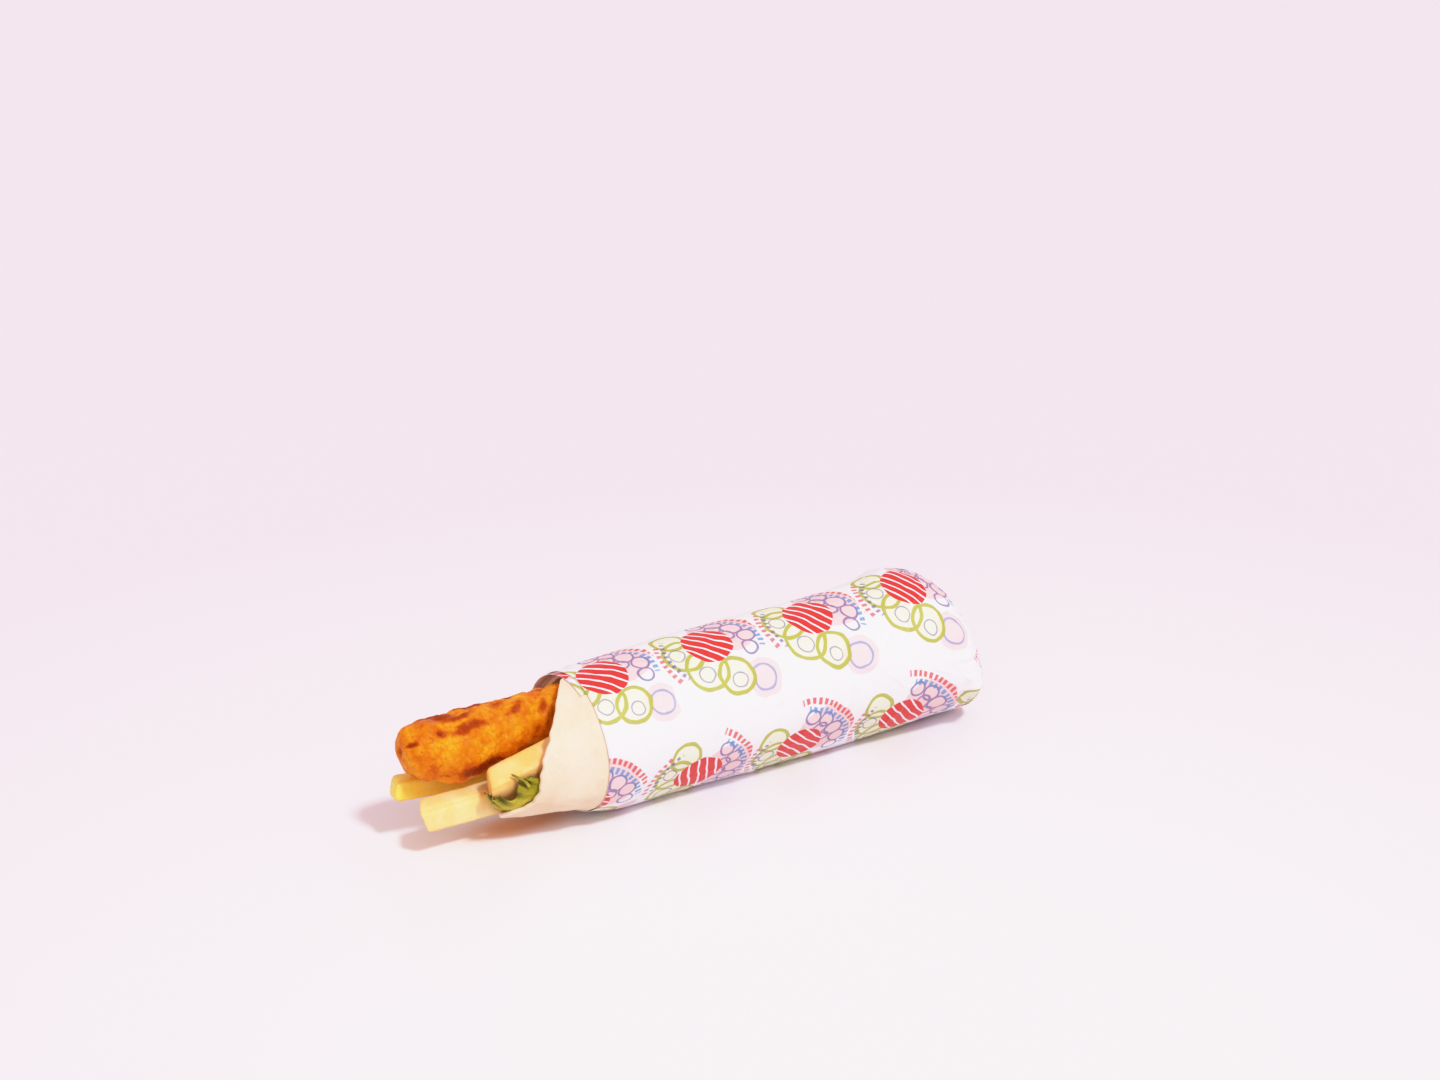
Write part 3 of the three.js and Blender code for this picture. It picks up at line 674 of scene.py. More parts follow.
def makeBreadMaterial():
    # baked wheat dough: matt, with a soft light inside it, floured, and browned where it blistered
    material, tree, shader = newMaterial("wheatFlatbread")
    place = addNode(tree, "ShaderNodeTexCoord").outputs["Object"]
    toast, groove = (addNode(tree, "ShaderNodeAttribute", {"attribute_name": name}).outputs["Fac"]
                     for name in ("toast", "groove"))
    # slow patches about 12 mm across, where the dough touched the plate or not
    patch = addNode(tree, "ShaderNodeTexNoise", None, {"Vector": place, "Scale": 80, "Detail": 3.0, "Roughness": 0.5})
    patch = addNode(tree, "ShaderNodeMapRange", None, {"Value": patch, "From Min": 0.38, "From Max": 0.68})
    dough = addNode(tree, "ShaderNodeMix", {"data_type": "RGBA"}, {
        "Factor": patch, 6: bread["dough"], 7: bread["doughDeep"]})
    # flour lies in specks of about 1 mm
    flour = addNode(tree, "ShaderNodeTexNoise", None, {"Vector": place, "Scale": 700, "Detail": 4.0, "Roughness": 0.7})
    flourAmount = addNode(tree, "ShaderNodeMapRange", None, {
        "Value": flour, "From Min": 0.52, "From Max": 0.72, "To Max": 0.55})
    floured = addNode(tree, "ShaderNodeMix", {"data_type": "RGBA"}, {
        "Factor": flourAmount, 6: dough.outputs[2], 7: bread["flour"]})
    # blisters brown first, in freckles of about 3 mm
    freckle = addNode(tree, "ShaderNodeTexNoise", None, {
        "Vector": place, "Scale": 330, "Detail": 5.0, "Roughness": 0.65})
    browned = addNode(tree, "ShaderNodeMath", {"operation": "MULTIPLY"}, {0: toast, 1: freckle})
    browned = addNode(tree, "ShaderNodeMapRange", None, {
        "Value": browned, "From Min": 0.2, "From Max": 0.75, "To Max": 0.3})
    colour = addNode(tree, "ShaderNodeMix", {"data_type": "RGBA"}, {
        "Factor": browned, 6: floured.outputs[2], 7: bread["browned"]})
    # painted shade: darker between the turns of the roll on the mouth's floor
    shade = addNode(tree, "ShaderNodeMath", {"operation": "MULTIPLY"}, {0: groove, 1: 0.7})
    colour = addNode(tree, "ShaderNodeMix", {"data_type": "RGBA"}, {
        "Factor": shade, 6: colour.outputs[2], 7: bread["turnShadeColour"]})
    # pores of about 1 mm
    pores = addNode(tree, "ShaderNodeTexVoronoi", None, {"Vector": place, "Scale": 900})
    bump = addNode(tree, "ShaderNodeBump", None, {"Height": flour, "Distance": 0.00025, "Strength": 0.6})
    bump = addNode(tree, "ShaderNodeBump", None, {
        "Height": pores.outputs["Distance"], "Distance": 0.0001, "Strength": 0.5, "Normal": bump})
    setSockets(tree, shader, {
        "Base Color": colour.outputs[2], "Roughness": 0.78, "IOR": 1.45, "Specular IOR Level": 0.3, "Normal": bump,
        "Subsurface Weight": 0.15, "Subsurface Radius": (0.0018, 0.0014, 0.001), "Subsurface Scale": 1.0})
    return material


breadRoll = makeBread([makeBreadMaterial()])
print("flatbread rolled")

# The kebab: spiced minced chicken pressed by hand round a skewer and grilled. It has finger ridges, a coarse mince
# grain, cracks, charred crowns, and a thin film of fat that gives a broken gloss.
kebab = {
    "tipReach": 72,
    "length": 225,
    "tipRound": 6.5,
    "y": 7.2,
    "top": 22.4,               # above the roll's centre line
    "width": 0.9,              # of its height
    # reach and radius
    "girth": [(72, 9.6), (66, 10.7), (60, 12.2), (53, 13.5), (44, 13.5), (30, 12.4), (10, 11.5), (-200, 11.5)],
    "holeRadius": 1.5,
    "holeDepth": 1.3,
    "holeShade": 0.55,          # painted shade: the skewer hole is dark
    "tipPower": 2.3,           # how blunt the tip is
    "tipRows": 22,
    "columns": 168,
    "shownStep": 0.45,         # from row to row where it shows
    "shownTo": -17,
    "hiddenFrom": -20,         # from there back it has a few long rows, and no lumps
    "hiddenRows": 8,
    "handLump": 0.8,           # height of the broad lumps that the hand leaves
    "handSize": 9,
    "mince": 3.1,              # size of the coarse grain
    "minceDepth": 0.4,
    "crackDepth": 0.3,
    "fineSize": 1.25,
    "fineDepth": 0.16,
    "roughSize": 5.5,
    "roughDepth": 0.32,
    "charDent": 0.45,          # how far the meat shrank where it charred
    "aboutRadius": 12,         # turns degrees round the kebab into millimetres
    # reach, angle, half length, half width, slant in degrees, strength: where the grill charred it; the spot at 212
    # degrees, underneath, is also painted shade
    "char": [
        (69, 142, 2.4, 2.2, 0, 1.1), (58, 130, 4.4, 3.3, 0, 1.2), (44, 128, 13, 3.0, 4, 0.92),
        (47, 100, 8, 2.8, 4, 0.95), (24, 121, 6.5, 3.2, 24, 0.9), (12, 131, 2.2, 6, -22, 0.8),
        (16.5, 174, 2.2, 2.4, 0, 0.6), (33, 160, 4, 1.8, 20, 0.4), (22, 150, 3, 2, -10, 0.4),
        (57, 70, 8, 3.2, 0, 1.0), (38, 72, 9, 3.2, 4, 1.15), (20, 70, 7, 3, 0, 1.0),
        # the first spot on the next line, long and underneath at 212 degrees, is partly char and partly painted shade
        # where the kebab lies over the fries
        (42, 212, 14, 5.2, 0, 1.1), (52, 88, 13, 3.4, 3, 0.95), (29, 90, 6, 3.0, 12, 0.7), (64, 100, 4, 2.2, 0, 0.5),
        (58, 40, 8, 3, 12, 0.8), (36, 52, 9, 3.4, -8, 0.7), (20, 20, 7, 3, 6, 0.8), (50, 350, 9, 3, 0, 0.7),
        (30, 325, 8, 3.4, 10, 0.8), (60, 300, 6, 2.5, -14, 0.6), (10, 285, 8, 3, 0, 0.8), (45, 262, 8, 3, 8, 0.7),
        (68, 20, 2.4, 3.2, 0, 0.7), (67, 250, 2.4, 3, 0, 0.6), (8, 70, 6, 3, 0, 0.8)],
    "meat": [(0.34, "#F3A11C"), (0.45, "#E88C14"), (0.56, "#DA740C"), (0.68, "#C05608")],
    # painted shade in the cracks of the mince
    "crevice": "#A84A06",
    "toasted": "#A83C02",
    "charred": "#6A1E00",
    "fat": "#FFC080",          # the fat is stained by the spice
}


def girth(s):
    # the kebab's radius at reach s, eased from one given radius to the next
    radius = np.zeros(np.shape(s))
    for (s0, r0), (s1, r1) in zip(kebab["girth"], kebab["girth"][1:]):
        radius = np.where((s <= s0) & (s >= s1), r0 + (r1 - r0) * smoothStep(s0 - s, 0, s0 - s1), radius)
    return radius


def makeKebab(materials):
    k = kebab
    angle = np.linspace(0, 360, k["columns"], endpoint=False)[None, :]
    a = np.radians(angle)
    tip, far = k["tipReach"], k["tipReach"] - k["length"]
    tipRadius, farRadius = k["girth"][0][1], k["girth"][-1][1]

    # rows of (reach, share of the girth): out of the hole, over the tip, back to where the kebab stops showing, and
    # in a few long steps to the far end
    holeShare = k["holeRadius"] / tipRadius
    stations = [(tip - k["holeDepth"] * d, holeShare * w) for d, w in ((1, 0.2), (1, 0.55), (0.6, 0.85))]
    for t in np.linspace(0.0, 1, k["tipRows"]):
        share = math.sqrt(1 - (1 - t) ** k["tipPower"])
        if share > holeShare:
            stations.append((tip - k["tipRound"] * t, share))
    stations += [(s, 1.0) for s in np.arange(tip - k["tipRound"] - k["shownStep"], k["shownTo"], -k["shownStep"])]
    rows = len(stations)       # only these get the fine relief
    stations += [(s, 1.0) for s in np.linspace(k["hiddenFrom"], far + 4, k["hiddenRows"])]
    stations += [(far + 1, 0.9), (far, 0.6)]
    s, share = np.array(stations).T[:, :, None]

    # broad lumps that the hand left
    lumps = 0.45 * np.sin(s * 0.33 + 1.3 * np.sin(a + 0.6))
    lumps = lumps + 0.4 * np.sin(s * 0.61 + 2 * a + 1.1) * np.sin(3 * a - s * 0.12)
    lumps = lumps + 0.3 * np.sin(5 * a + s * 0.47) * np.sin(s * 0.83 + 1.7)
    radius = girth(s)
    skin = np.stack(np.broadcast_arrays(-s, share * radius * np.cos(a), share * radius * np.sin(a)), -1)[:rows]
    lumps[:rows] += k["handLump"] * softNoise(skin, k["handSize"], 7, 2)
    lumps = lumps * smoothStep(share, 0.3, 1) * smoothStep(s, k["hiddenFrom"], 0)

    # the mince, its cracks, and the grill's char, which breaks up along the grain
    grain, crack = cellNoise(skin, k["mince"], 2)
    fine, _ = cellNoise(skin, k["fineSize"], 9)
    rough = softNoise(skin, k["roughSize"], 4, 4)
    relief, broken, crevice, char, dent = np.zeros((5, *lumps.shape))
    cracks = k["crackDepth"] * (1 - smoothStep(crack, 0.02, 0.22)) * smoothStep(rough, -0.1, 0.5)
    relief[:rows] = k["minceDepth"] * (0.45 - grain) - cracks + k["fineDepth"] * (0.4 - fine) + k["roughDepth"] * rough
    broken[:rows] = 0.5 * rough + 0.35 * (0.4 - grain)
    # painted shade: where the mince cracks, the colour darkens
    crevice[:rows] = 1 - smoothStep(crack, 0.02, 0.2)
    for reach, at, halfLength, halfWidth, slant, strength in k["char"]:
        along = s - reach
        around = np.radians(turnBetween(angle, at)) * k["aboutRadius"]
        c, n = math.cos(math.radians(slant)), math.sin(math.radians(slant))
        away = np.sqrt(((along * c + around * n) / halfLength) ** 2 + ((around * c - along * n) / halfWidth) ** 2)
        spot = strength * smoothStep(1.35 - away + 0.9 * broken, 0, 1.25)
        char = np.maximum(char, spot)
        dent = np.maximum(dent, spot * bell(away, 0, 1.0))
    relief -= k["charDent"] * dent
    radius = radius * share + lumps + relief * smoothStep(share, 0.2, 0.6) * smoothStep(s, -18, -8)
    middle = centreHeight(0) + k["top"]
    points = np.stack(np.broadcast_arrays(
        -s, k["y"] + radius * k["width"] * np.cos(a), middle - girth(s) + radius * np.sin(a)), -1)
    ends = [(k["holeDepth"] - tip, k["y"], middle - tipRadius), (-far, k["y"], middle - farRadius)]
    mesh = makeMesh("chickenKebab", np.concatenate([points.reshape(-1, 3), ends]), tubeFaces(*points.shape[:2]))

    # painted shade in the skewer hole, carried with the real char
    hole = k["holeShade"] * (1 - smoothStep(share, holeShare * 0.8, holeShare * 1.5))
    addAttribute(mesh, "char", np.append(np.maximum(char, hole).ravel(), [k["holeShade"], 0]))
    addAttribute(mesh, "crevice", np.append(crevice.ravel(), [1, 0]))
    return addPiece("chickenKebabGrilled", mesh, materials)


def makeKebabMaterial():
    # grilled minced chicken: orange with spice, with a thin film of fat on a grainy skin
    material, tree, shader = newMaterial("grilledSpicedChicken")
    place = addNode(tree, "ShaderNodeTexCoord").outputs["Object"]
    char, crevice = (addNode(tree, "ShaderNodeAttribute", {"attribute_name": name}).outputs["Fac"]
                     for name in ("char", "crevice"))
    # paler and deeper orange mince, in grains of about 2.5 mm and patches of 10 mm
    patch = addNode(tree, "ShaderNodeTexNoise", None, {"Vector": place, "Scale": 105, "Detail": 3.0})
    grain = addNode(tree, "ShaderNodeTexVoronoi", {"feature": "SMOOTH_F1"}, {"Vector": place, "Scale": 420})
    fine = addNode(tree, "ShaderNodeTexNoise", None, {"Vector": place, "Scale": 900, "Detail": 4.0, "Roughness": 0.6})
    tone = addNode(tree, "ShaderNodeMix", {"data_type": "FLOAT"}, {
        "Factor": 0.2, 2: patch.outputs["Fac"], 3: grain.outputs["Distance"]})
    tone = addNode(tree, "ShaderNodeMix", {"data_type": "FLOAT"}, {
        "Factor": 0.16, 2: tone.outputs[0], 3: fine.outputs["Fac"]})
    ramp = addNode(tree, "ShaderNodeValToRGB", {"stops": kebab["meat"]}, {"Fac": tone.outputs[0]})
    # painted shade in the cracks
    cracked = addNode(tree, "ShaderNodeMath", {"operation": "MULTIPLY"}, {0: crevice, 1: 0.3})
    meat = addNode(tree, "ShaderNodeMix", {"data_type": "RGBA"}, {
        "Factor": cracked, 6: ramp.outputs["Color"], 7: kebab["crevice"]})
    # char: toasted orange-brown first, then nearly black-red in the middle; the same colours paint the shade in the
    # skewer hole and under the kebab
    broken = addNode(tree, "ShaderNodeMath", {"operation": "MULTIPLY_ADD"}, {0: fine, 1: 0.5, 2: -0.25})
    burnt = addNode(tree, "ShaderNodeMath", {"operation": "ADD"}, {0: char, 1: broken})
    toasted = addNode(tree, "ShaderNodeMapRange", {"interpolation_type": "SMOOTHSTEP"}, {
        "Value": burnt, "From Min": 0.05, "From Max": 0.85, "To Max": 0.95})
    black = addNode(tree, "ShaderNodeMapRange", {"interpolation_type": "SMOOTHSTEP"}, {
        "Value": burnt, "From Min": 0.55, "From Max": 1.2, "To Max": 0.72})
    colour = addNode(tree, "ShaderNodeMix", {"data_type": "RGBA"}, {
        "Factor": toasted, 6: meat.outputs[2], 7: kebab["toasted"]})
    colour = addNode(tree, "ShaderNodeMix", {"data_type": "RGBA"}, {
        "Factor": black, 6: colour.outputs[2], 7: kebab["charred"]})
    gloss = addNode(tree, "ShaderNodeMapRange", None, {
        "Value": fine, "From Min": 0.3, "From Max": 0.7, "To Min": 0.36, "To Max": 0.6})
    bump = addNode(tree, "ShaderNodeBump", None, {"Height": fine, "Distance": 0.00035, "Strength": 0.6})
    bump = addNode(tree, "ShaderNodeBump", None, {
        "Height": grain.outputs["Distance"], "Distance": 0.0004, "Strength": 0.35, "Normal": bump})
    setSockets(tree, shader, {
        "Base Color": colour.outputs[2], "Roughness": gloss, "IOR": 1.45, "Specular IOR Level": 0.2, "Normal": bump,
        "Specular Tint": kebab["fat"], "Coat Weight": 0.04, "Coat Roughness": 0.25,
        "Subsurface Weight": 0.12, "Subsurface Radius": (0.003, 0.0012, 0.0004), "Subsurface Scale": 1.0})
    return material


chickenKebab = makeKebab([makeKebabMaterial()])
print("kebab grilled")

# Three thick-cut fries: potato sticks fried in oil, with softened edges, a thin dry crust and browner corners.
# Each one's ends are given as reach, y and height over the roll's centre line, its turn in degrees about its length,
# and the slant of its cut end across it and down it.
fries = {
    "fryFront": {
        "node": "fry_front", "slot": "pale_fry", "seed": 1,
        "cutEnd": (66.2, -1, -12.5), "innerEnd": (-22, -1, -12.5), "width": 11.4, "turn": 2,
        "cutSlant": (0.55, 0.36), "endRound": 0.1,
        "pale": "#FADE9C", "deep": "#F6CF7E", "corner": "#E9B65C",
    },
    "fryMiddle": {
        "node": "fry_middle", "slot": "creamy_fry", "seed": 4,
        "cutEnd": (43, -10.4, -2.8), "innerEnd": (-6, -12.4, 9.4), "width": 12, "turn": 27,
        "cutSlant": (0.3, 0.28), "endRound": 0.16,
        "pale": "#F8CA82", "deep": "#F3BC60", "corner": "#E3A446",
    },
    "fryBack": {
        "node": "fry_back", "slot": "golden_fry", "seed": 7,
        "cutEnd": (71.5, 13.8, -5.5), "innerEnd": (8, 15.4, -13), "width": 8.9, "turn": -4,
        "cutSlant": (0.15, -0.2), "endRound": 0.42,
        "pale": "#FFE06A", "deep": "#FFD03C", "corner": "#F4BC36",
    },
}
stick = {
    "lengthRows": 132,
    "sideRows": 15,
    "squareness": 4.2,         # power of the rounded square section
    "endPower": 46,            # the higher, the shorter the part that narrows at an end
    "crowding": 0.86,          # how much the columns crowd to the corners
    "crust": 0.3,              # height of the uneven crust
    "crustSize": 5.0,
    "knifeWave": 17.0,         # length of the slow unevenness that the knife leaves
    "waveShare": 3.0,
    "blister": 0.22,
    "blisterSize": 3.8,
    "blisterEdge": 0.42,       # of a blister's size
    "slantPower": 3.0,         # the higher, the less of the stick the slanted cut reaches
    "rimPower": 6.0,           # the higher, the narrower the browned rim of the cut
    "weld": 0.01,              # points closer than this become one
}


def startTree(name, inputs):
    # a tree for growPiece: the identifiers of its inputs are kept by their names
    tree = bpy.data.node_groups.new(name, "GeometryNodeTree")
    names = {label: tree.interface.new_socket(name=label, in_out="INPUT", socket_type="NodeSocket" + kind).identifier
             for label, kind in inputs.items()}
    tree.interface.new_socket(name="Geometry", in_out="OUTPUT", socket_type="NodeSocketGeometry")
    return tree, names, addNode(tree, "NodeGroupInput").outputs


def endTree(tree, geometry, finish):
    whole = addNode(tree, "GeometryNodeRealizeInstances", None, {"Geometry": geometry})
    finished = addNode(tree, "GeometryNodeSetMaterial", None, {"Geometry": whole, "Material": finish})
    addNode(tree, "NodeGroupOutput", None, {"Geometry": finished})


def growPiece(name, tree, names, values):
    # runs a tree on an empty piece, and leaves the piece with what the tree makes as a plain mesh
    piece = addPiece(name, bpy.data.meshes.new(name), [])
    modifier = piece.modifiers.new("grow", "NODES")
    modifier.node_group = tree
    for label, value in values.items():
        modifier[names[label]] = value
    piece.update_tag()
    bpy.context.view_layer.update()
    mesh = bpy.data.meshes.new_from_object(piece.evaluated_get(bpy.context.evaluated_depsgraph_get()))
    piece.modifiers.remove(modifier)
    piece.data = mesh
    return piece


def potatoStickTree():
    # bends a gridded box into a stick between two points; everything is in metres
    tree, names, given = startTree("potatoStick", {
        "Cut end": "Vector", "Inner end": "Vector", "Width": "Float", "Turn": "Float", "Slant": "Vector",
        "End round": "Float", "Crust height": "Float", "Seed": "Int", "Finish": "Material"})
    box = addNode(tree, "GeometryNodeMeshCube", None, {
        "Size": (1, 1, 1), "Vertices X": stick["lengthRows"], "Vertices Y": stick["sideRows"],
        "Vertices Z": stick["sideRows"]})
    # rows crowd towards both ends, and columns towards the corners, where the stick curves most
    crowd = math.pi * stick["crowding"]
    cornerOut = 1 / math.sin(crowd / 2)
    bent = addNode(tree, "ShaderNodeVectorMath", {"operation": "MULTIPLY"}, {
        0: addNode(tree, "GeometryNodeInputPosition"), 1: (math.pi, crowd, crowd)})
    bent = addNode(tree, "ShaderNodeVectorMath", {"operation": "SINE"}, {0: bent})
    bent = addNode(tree, "ShaderNodeVectorMath", {"operation": "MULTIPLY"}, {0: bent, 1: (1, cornerOut, cornerOut)})
    sizes = addNode(tree, "ShaderNodeVectorMath", {"operation": "ABSOLUTE"}, {0: bent})
    at, size = (addNode(tree, "ShaderNodeSeparateXYZ", None, {0: vector}).outputs for vector in (bent, sizes))
    along = addNode(tree, "ShaderNodeMath", {"operation": "MULTIPLY_ADD"}, {0: at["X"], 1: 0.5, 2: 0.5})

    # the section is a rounded square, and narrows a little at its ends
    power = stick["squareness"]
    across, upright = (addNode(tree, "ShaderNodeMath", {"operation": "POWER"}, {0: size[axis], 1: power})
                       for axis in ("Y", "Z"))
    rounded = addNode(tree, "ShaderNodeMath", {"operation": "ADD"}, {0: across, 1: upright})
    rounded = addNode(tree, "ShaderNodeMath", {"operation": "POWER"}, {0: rounded, 1: 1 / power})
    rounded = addNode(tree, "ShaderNodeMath", {"operation": "MAXIMUM"}, {0: rounded, 1: 0.0001})
    square = addNode(tree, "ShaderNodeMath", {"operation": "MAXIMUM"}, {0: size["Y"], 1: size["Z"]})
    ratio = addNode(tree, "ShaderNodeMath", {"operation": "DIVIDE"}, {0: square, 1: rounded})
    atEnd = addNode(tree, "ShaderNodeMath", {"operation": "POWER"}, {0: size["X"], 1: stick["endPower"]})
    narrow = addNode(tree, "ShaderNodeMath", {"operation": "MULTIPLY"}, {0: atEnd, 1: given["End round"]})
    narrow = addNode(tree, "ShaderNodeMath", {"operation": "SUBTRACT"}, {0: 1.0, 1: narrow})
    half = addNode(tree, "ShaderNodeMath", {"operation": "MULTIPLY"}, {0: given["Width"], 1: narrow})
    half = addNode(tree, "ShaderNodeMath", {"operation": "MULTIPLY"}, {0: half, 1: ratio})
    section = addNode(tree, "ShaderNodeVectorMath", {"operation": "MULTIPLY"}, {0: bent, 1: (0, 0.5, 0.5)})
    section = addNode(tree, "ShaderNodeVectorMath", {"operation": "SCALE"}, {0: section, "Scale": half})

    # the cut end slants across and down
    slant = addNode(tree, "ShaderNodeVectorMath", {"operation": "DOT_PRODUCT"}, {0: section, 1: given["Slant"]})
    nearCut = addNode(tree, "ShaderNodeMath", {"operation": "SUBTRACT"}, {0: 1.0, 1: along})
    nearCut = addNode(tree, "ShaderNodeMath", {"operation": "POWER"}, {0: nearCut, 1: stick["slantPower"]})
    slant = addNode(tree, "ShaderNodeMath", {"operation": "MULTIPLY"}, {0: slant.outputs["Value"], 1: nearCut})
    slant = addNode(tree, "ShaderNodeCombineXYZ", None, {"X": slant})
    turned = addNode(tree, "ShaderNodeVectorRotate", {"rotation_type": "X_AXIS"}, {
        "Vector": section, "Angle": given["Turn"]})
    line = addNode(tree, "ShaderNodeMix", {"data_type": "VECTOR"}, {
        0: along, 4: given["Cut end"], 5: given["Inner end"]})
    place = addNode(tree, "ShaderNodeVectorMath", {"operation": "ADD"}, {0: line.outputs[1], 1: turned})
    place = addNode(tree, "ShaderNodeVectorMath", {"operation": "ADD"}, {0: place, 1: slant})

    # the corners and the cut rim brown first
    rim = addNode(tree, "ShaderNodeMath", {"operation": "POWER"}, {0: square, 1: stick["rimPower"]})
    rim = addNode(tree, "ShaderNodeMath", {"operation": "MULTIPLY"}, {0: rim, 1: atEnd})
    corner = addNode(tree, "ShaderNodeMath", {"operation": "MINIMUM"}, {0: size["Y"], 1: size["Z"]})
    corner = addNode(tree, "ShaderNodeMath", {"operation": "MAXIMUM"}, {0: corner, 1: rim})
    kept = addNode(tree, "GeometryNodeStoreNamedAttribute", {"data_type": "FLOAT", "domain": "POINT"}, {
        "Geometry": box, "Name": "corner", "Value": corner})
    bent = addNode(tree, "GeometryNodeSetPosition", None, {"Geometry": kept, "Position": place})
    merged = addNode(tree, "GeometryNodeMergeByDistance", None, {"Geometry": bent, "Distance": stick["weld"] / 1000})
    # an uneven crust with a few low blisters
    where = addNode(tree, "GeometryNodeInputPosition")
    crust = addNode(tree, "ShaderNodeTexNoise", {"noise_dimensions": "4D"}, {
        "Vector": where, "W": given["Seed"], "Scale": 1000 / stick["crustSize"], "Detail": 4.0, "Roughness": 0.55})
    slow = addNode(tree, "ShaderNodeTexNoise", {"noise_dimensions": "4D"}, {
        "Vector": where, "W": given["Seed"], "Scale": 1000 / stick["knifeWave"], "Detail": 1.0})
    cells = addNode(tree, "ShaderNodeTexVoronoi", {"voronoi_dimensions": "4D"}, {
        "Vector": where, "W": given["Seed"], "Scale": 1000 / stick["blisterSize"]})
    height = addNode(tree, "ShaderNodeMath", {"operation": "MULTIPLY_ADD"}, {0: slow, 1: stick["waveShare"], 2: crust})
    height = addNode(tree, "ShaderNodeMath", {"operation": "SUBTRACT"}, {0: height, 1: 0.5 + stick["waveShare"] / 2})
    blister = addNode(tree, "ShaderNodeMath", {"operation": "SUBTRACT"}, {
        0: stick["blisterEdge"], 1: cells.outputs["Distance"]})
    blister = addNode(tree, "ShaderNodeMath", {"operation": "MAXIMUM"}, {0: blister, 1: 0.0})
    height = addNode(tree, "ShaderNodeMath", {"operation": "MULTIPLY_ADD"}, {
        0: blister, 1: stick["blister"] / stick["crust"], 2: height})
    height = addNode(tree, "ShaderNodeMath", {"operation": "MULTIPLY"}, {0: height, 1: given["Crust height"]})
    offset = addNode(tree, "ShaderNodeVectorMath", {"operation": "SCALE"}, {
        0: addNode(tree, "GeometryNodeInputNormal"), "Scale": height})
    crusted = addNode(tree, "GeometryNodeSetPosition", None, {"Geometry": merged, "Offset": offset})
    smooth = addNode(tree, "GeometryNodeSetShadeSmooth", None, {"Geometry": crusted})
    endTree(tree, smooth, given["Finish"])
    return tree, names


def makeFryMaterial(name, fry):
    # fried potato: pale flesh under a thin crust, drier and browner on the corners
    material, tree, shader = newMaterial("friedPotato" + name)
    place = addNode(tree, "ShaderNodeTexCoord").outputs["Object"]
    corner = addNode(tree, "ShaderNodeAttribute", {"attribute_name": "corner"}).outputs["Fac"]
    # clouds of about 8 mm, where the crust is thinner or thicker
    cloud = addNode(tree, "ShaderNodeTexNoise", None, {"Vector": place, "Scale": 120, "Detail": 3.0, "Roughness": 0.55})
    clouded = addNode(tree, "ShaderNodeMapRange", None, {"Value": cloud, "From Min": 0.35, "From Max": 0.66})
    colour = addNode(tree, "ShaderNodeMix", {"data_type": "RGBA"}, {"Factor": clouded, 6: fry["pale"], 7: fry["deep"]})
    # crust grains of about 0.8 mm
    grain = addNode(tree, "ShaderNodeTexNoise", None, {
        "Vector": place, "Scale": 1250, "Detail": 4.0, "Roughness": 0.65})
    edge = addNode(tree, "ShaderNodeMath", {"operation": "MULTIPLY_ADD"}, {0: grain, 1: 0.35, 2: corner})
    edge = addNode(tree, "ShaderNodeMapRange", {"interpolation_type": "SMOOTHSTEP"}, {
        "Value": edge, "From Min": 0.86, "From Max": 1.22, "To Max": 0.6})
    # browner spots, about 4 mm apart
    blotch = addNode(tree, "ShaderNodeTexVoronoi", None, {"Vector": place, "Scale": 230})
    blotch = addNode(tree, "ShaderNodeMapRange", None, {
        "Value": blotch.outputs["Distance"], "From Min": 0.0, "From Max": 0.28, "To Min": 0.35, "To Max": 0.0})
    for amount in (edge, blotch):
        colour = addNode(tree, "ShaderNodeMix", {"data_type": "RGBA"}, {
            "Factor": amount, 6: colour.outputs[2], 7: fry["corner"]})
    bump = addNode(tree, "ShaderNodeBump", None, {"Height": grain, "Distance": 0.0002, "Strength": 0.55})
    gloss = addNode(tree, "ShaderNodeMapRange", None, {
        "Value": cloud, "From Min": 0.3, "From Max": 0.7, "To Min": 0.42, "To Max": 0.62})
    setSockets(tree, shader, {
        "Base Color": colour.outputs[2], "Roughness": gloss, "IOR": 1.45, "Specular IOR Level": 0.4, "Normal": bump,
        "Subsurface Weight": 0.25, "Subsurface Radius": (0.003, 0.0018, 0.0006), "Subsurface Scale": 1.0})
    return material


def inFrame(reach, y, height):
    # a point in the frame's metres
    return (Vector((-reach, y, float(centreHeight(0)) + height)) + Vector(roll["mouthAt"])) / 1000


fryTree, fryInputs = potatoStickTree()
fryPieces = {}
for name, fry in fries.items():
    fryPieces[name] = growPiece(name, fryTree, fryInputs, {
        "Cut end": inFrame(*fry["cutEnd"]), "Inner end": inFrame(*fry["innerEnd"]), "Width": fry["width"] / 1000,
        "Turn": math.radians(fry["turn"]), "Slant": (0, fry["cutSlant"][0], -fry["cutSlant"][1]),
        "End round": fry["endRound"], "Crust height": stick["crust"] / 1000, "Seed": fry["seed"],
        "Finish": makeFryMaterial(name, fry)})
print("fries cut")

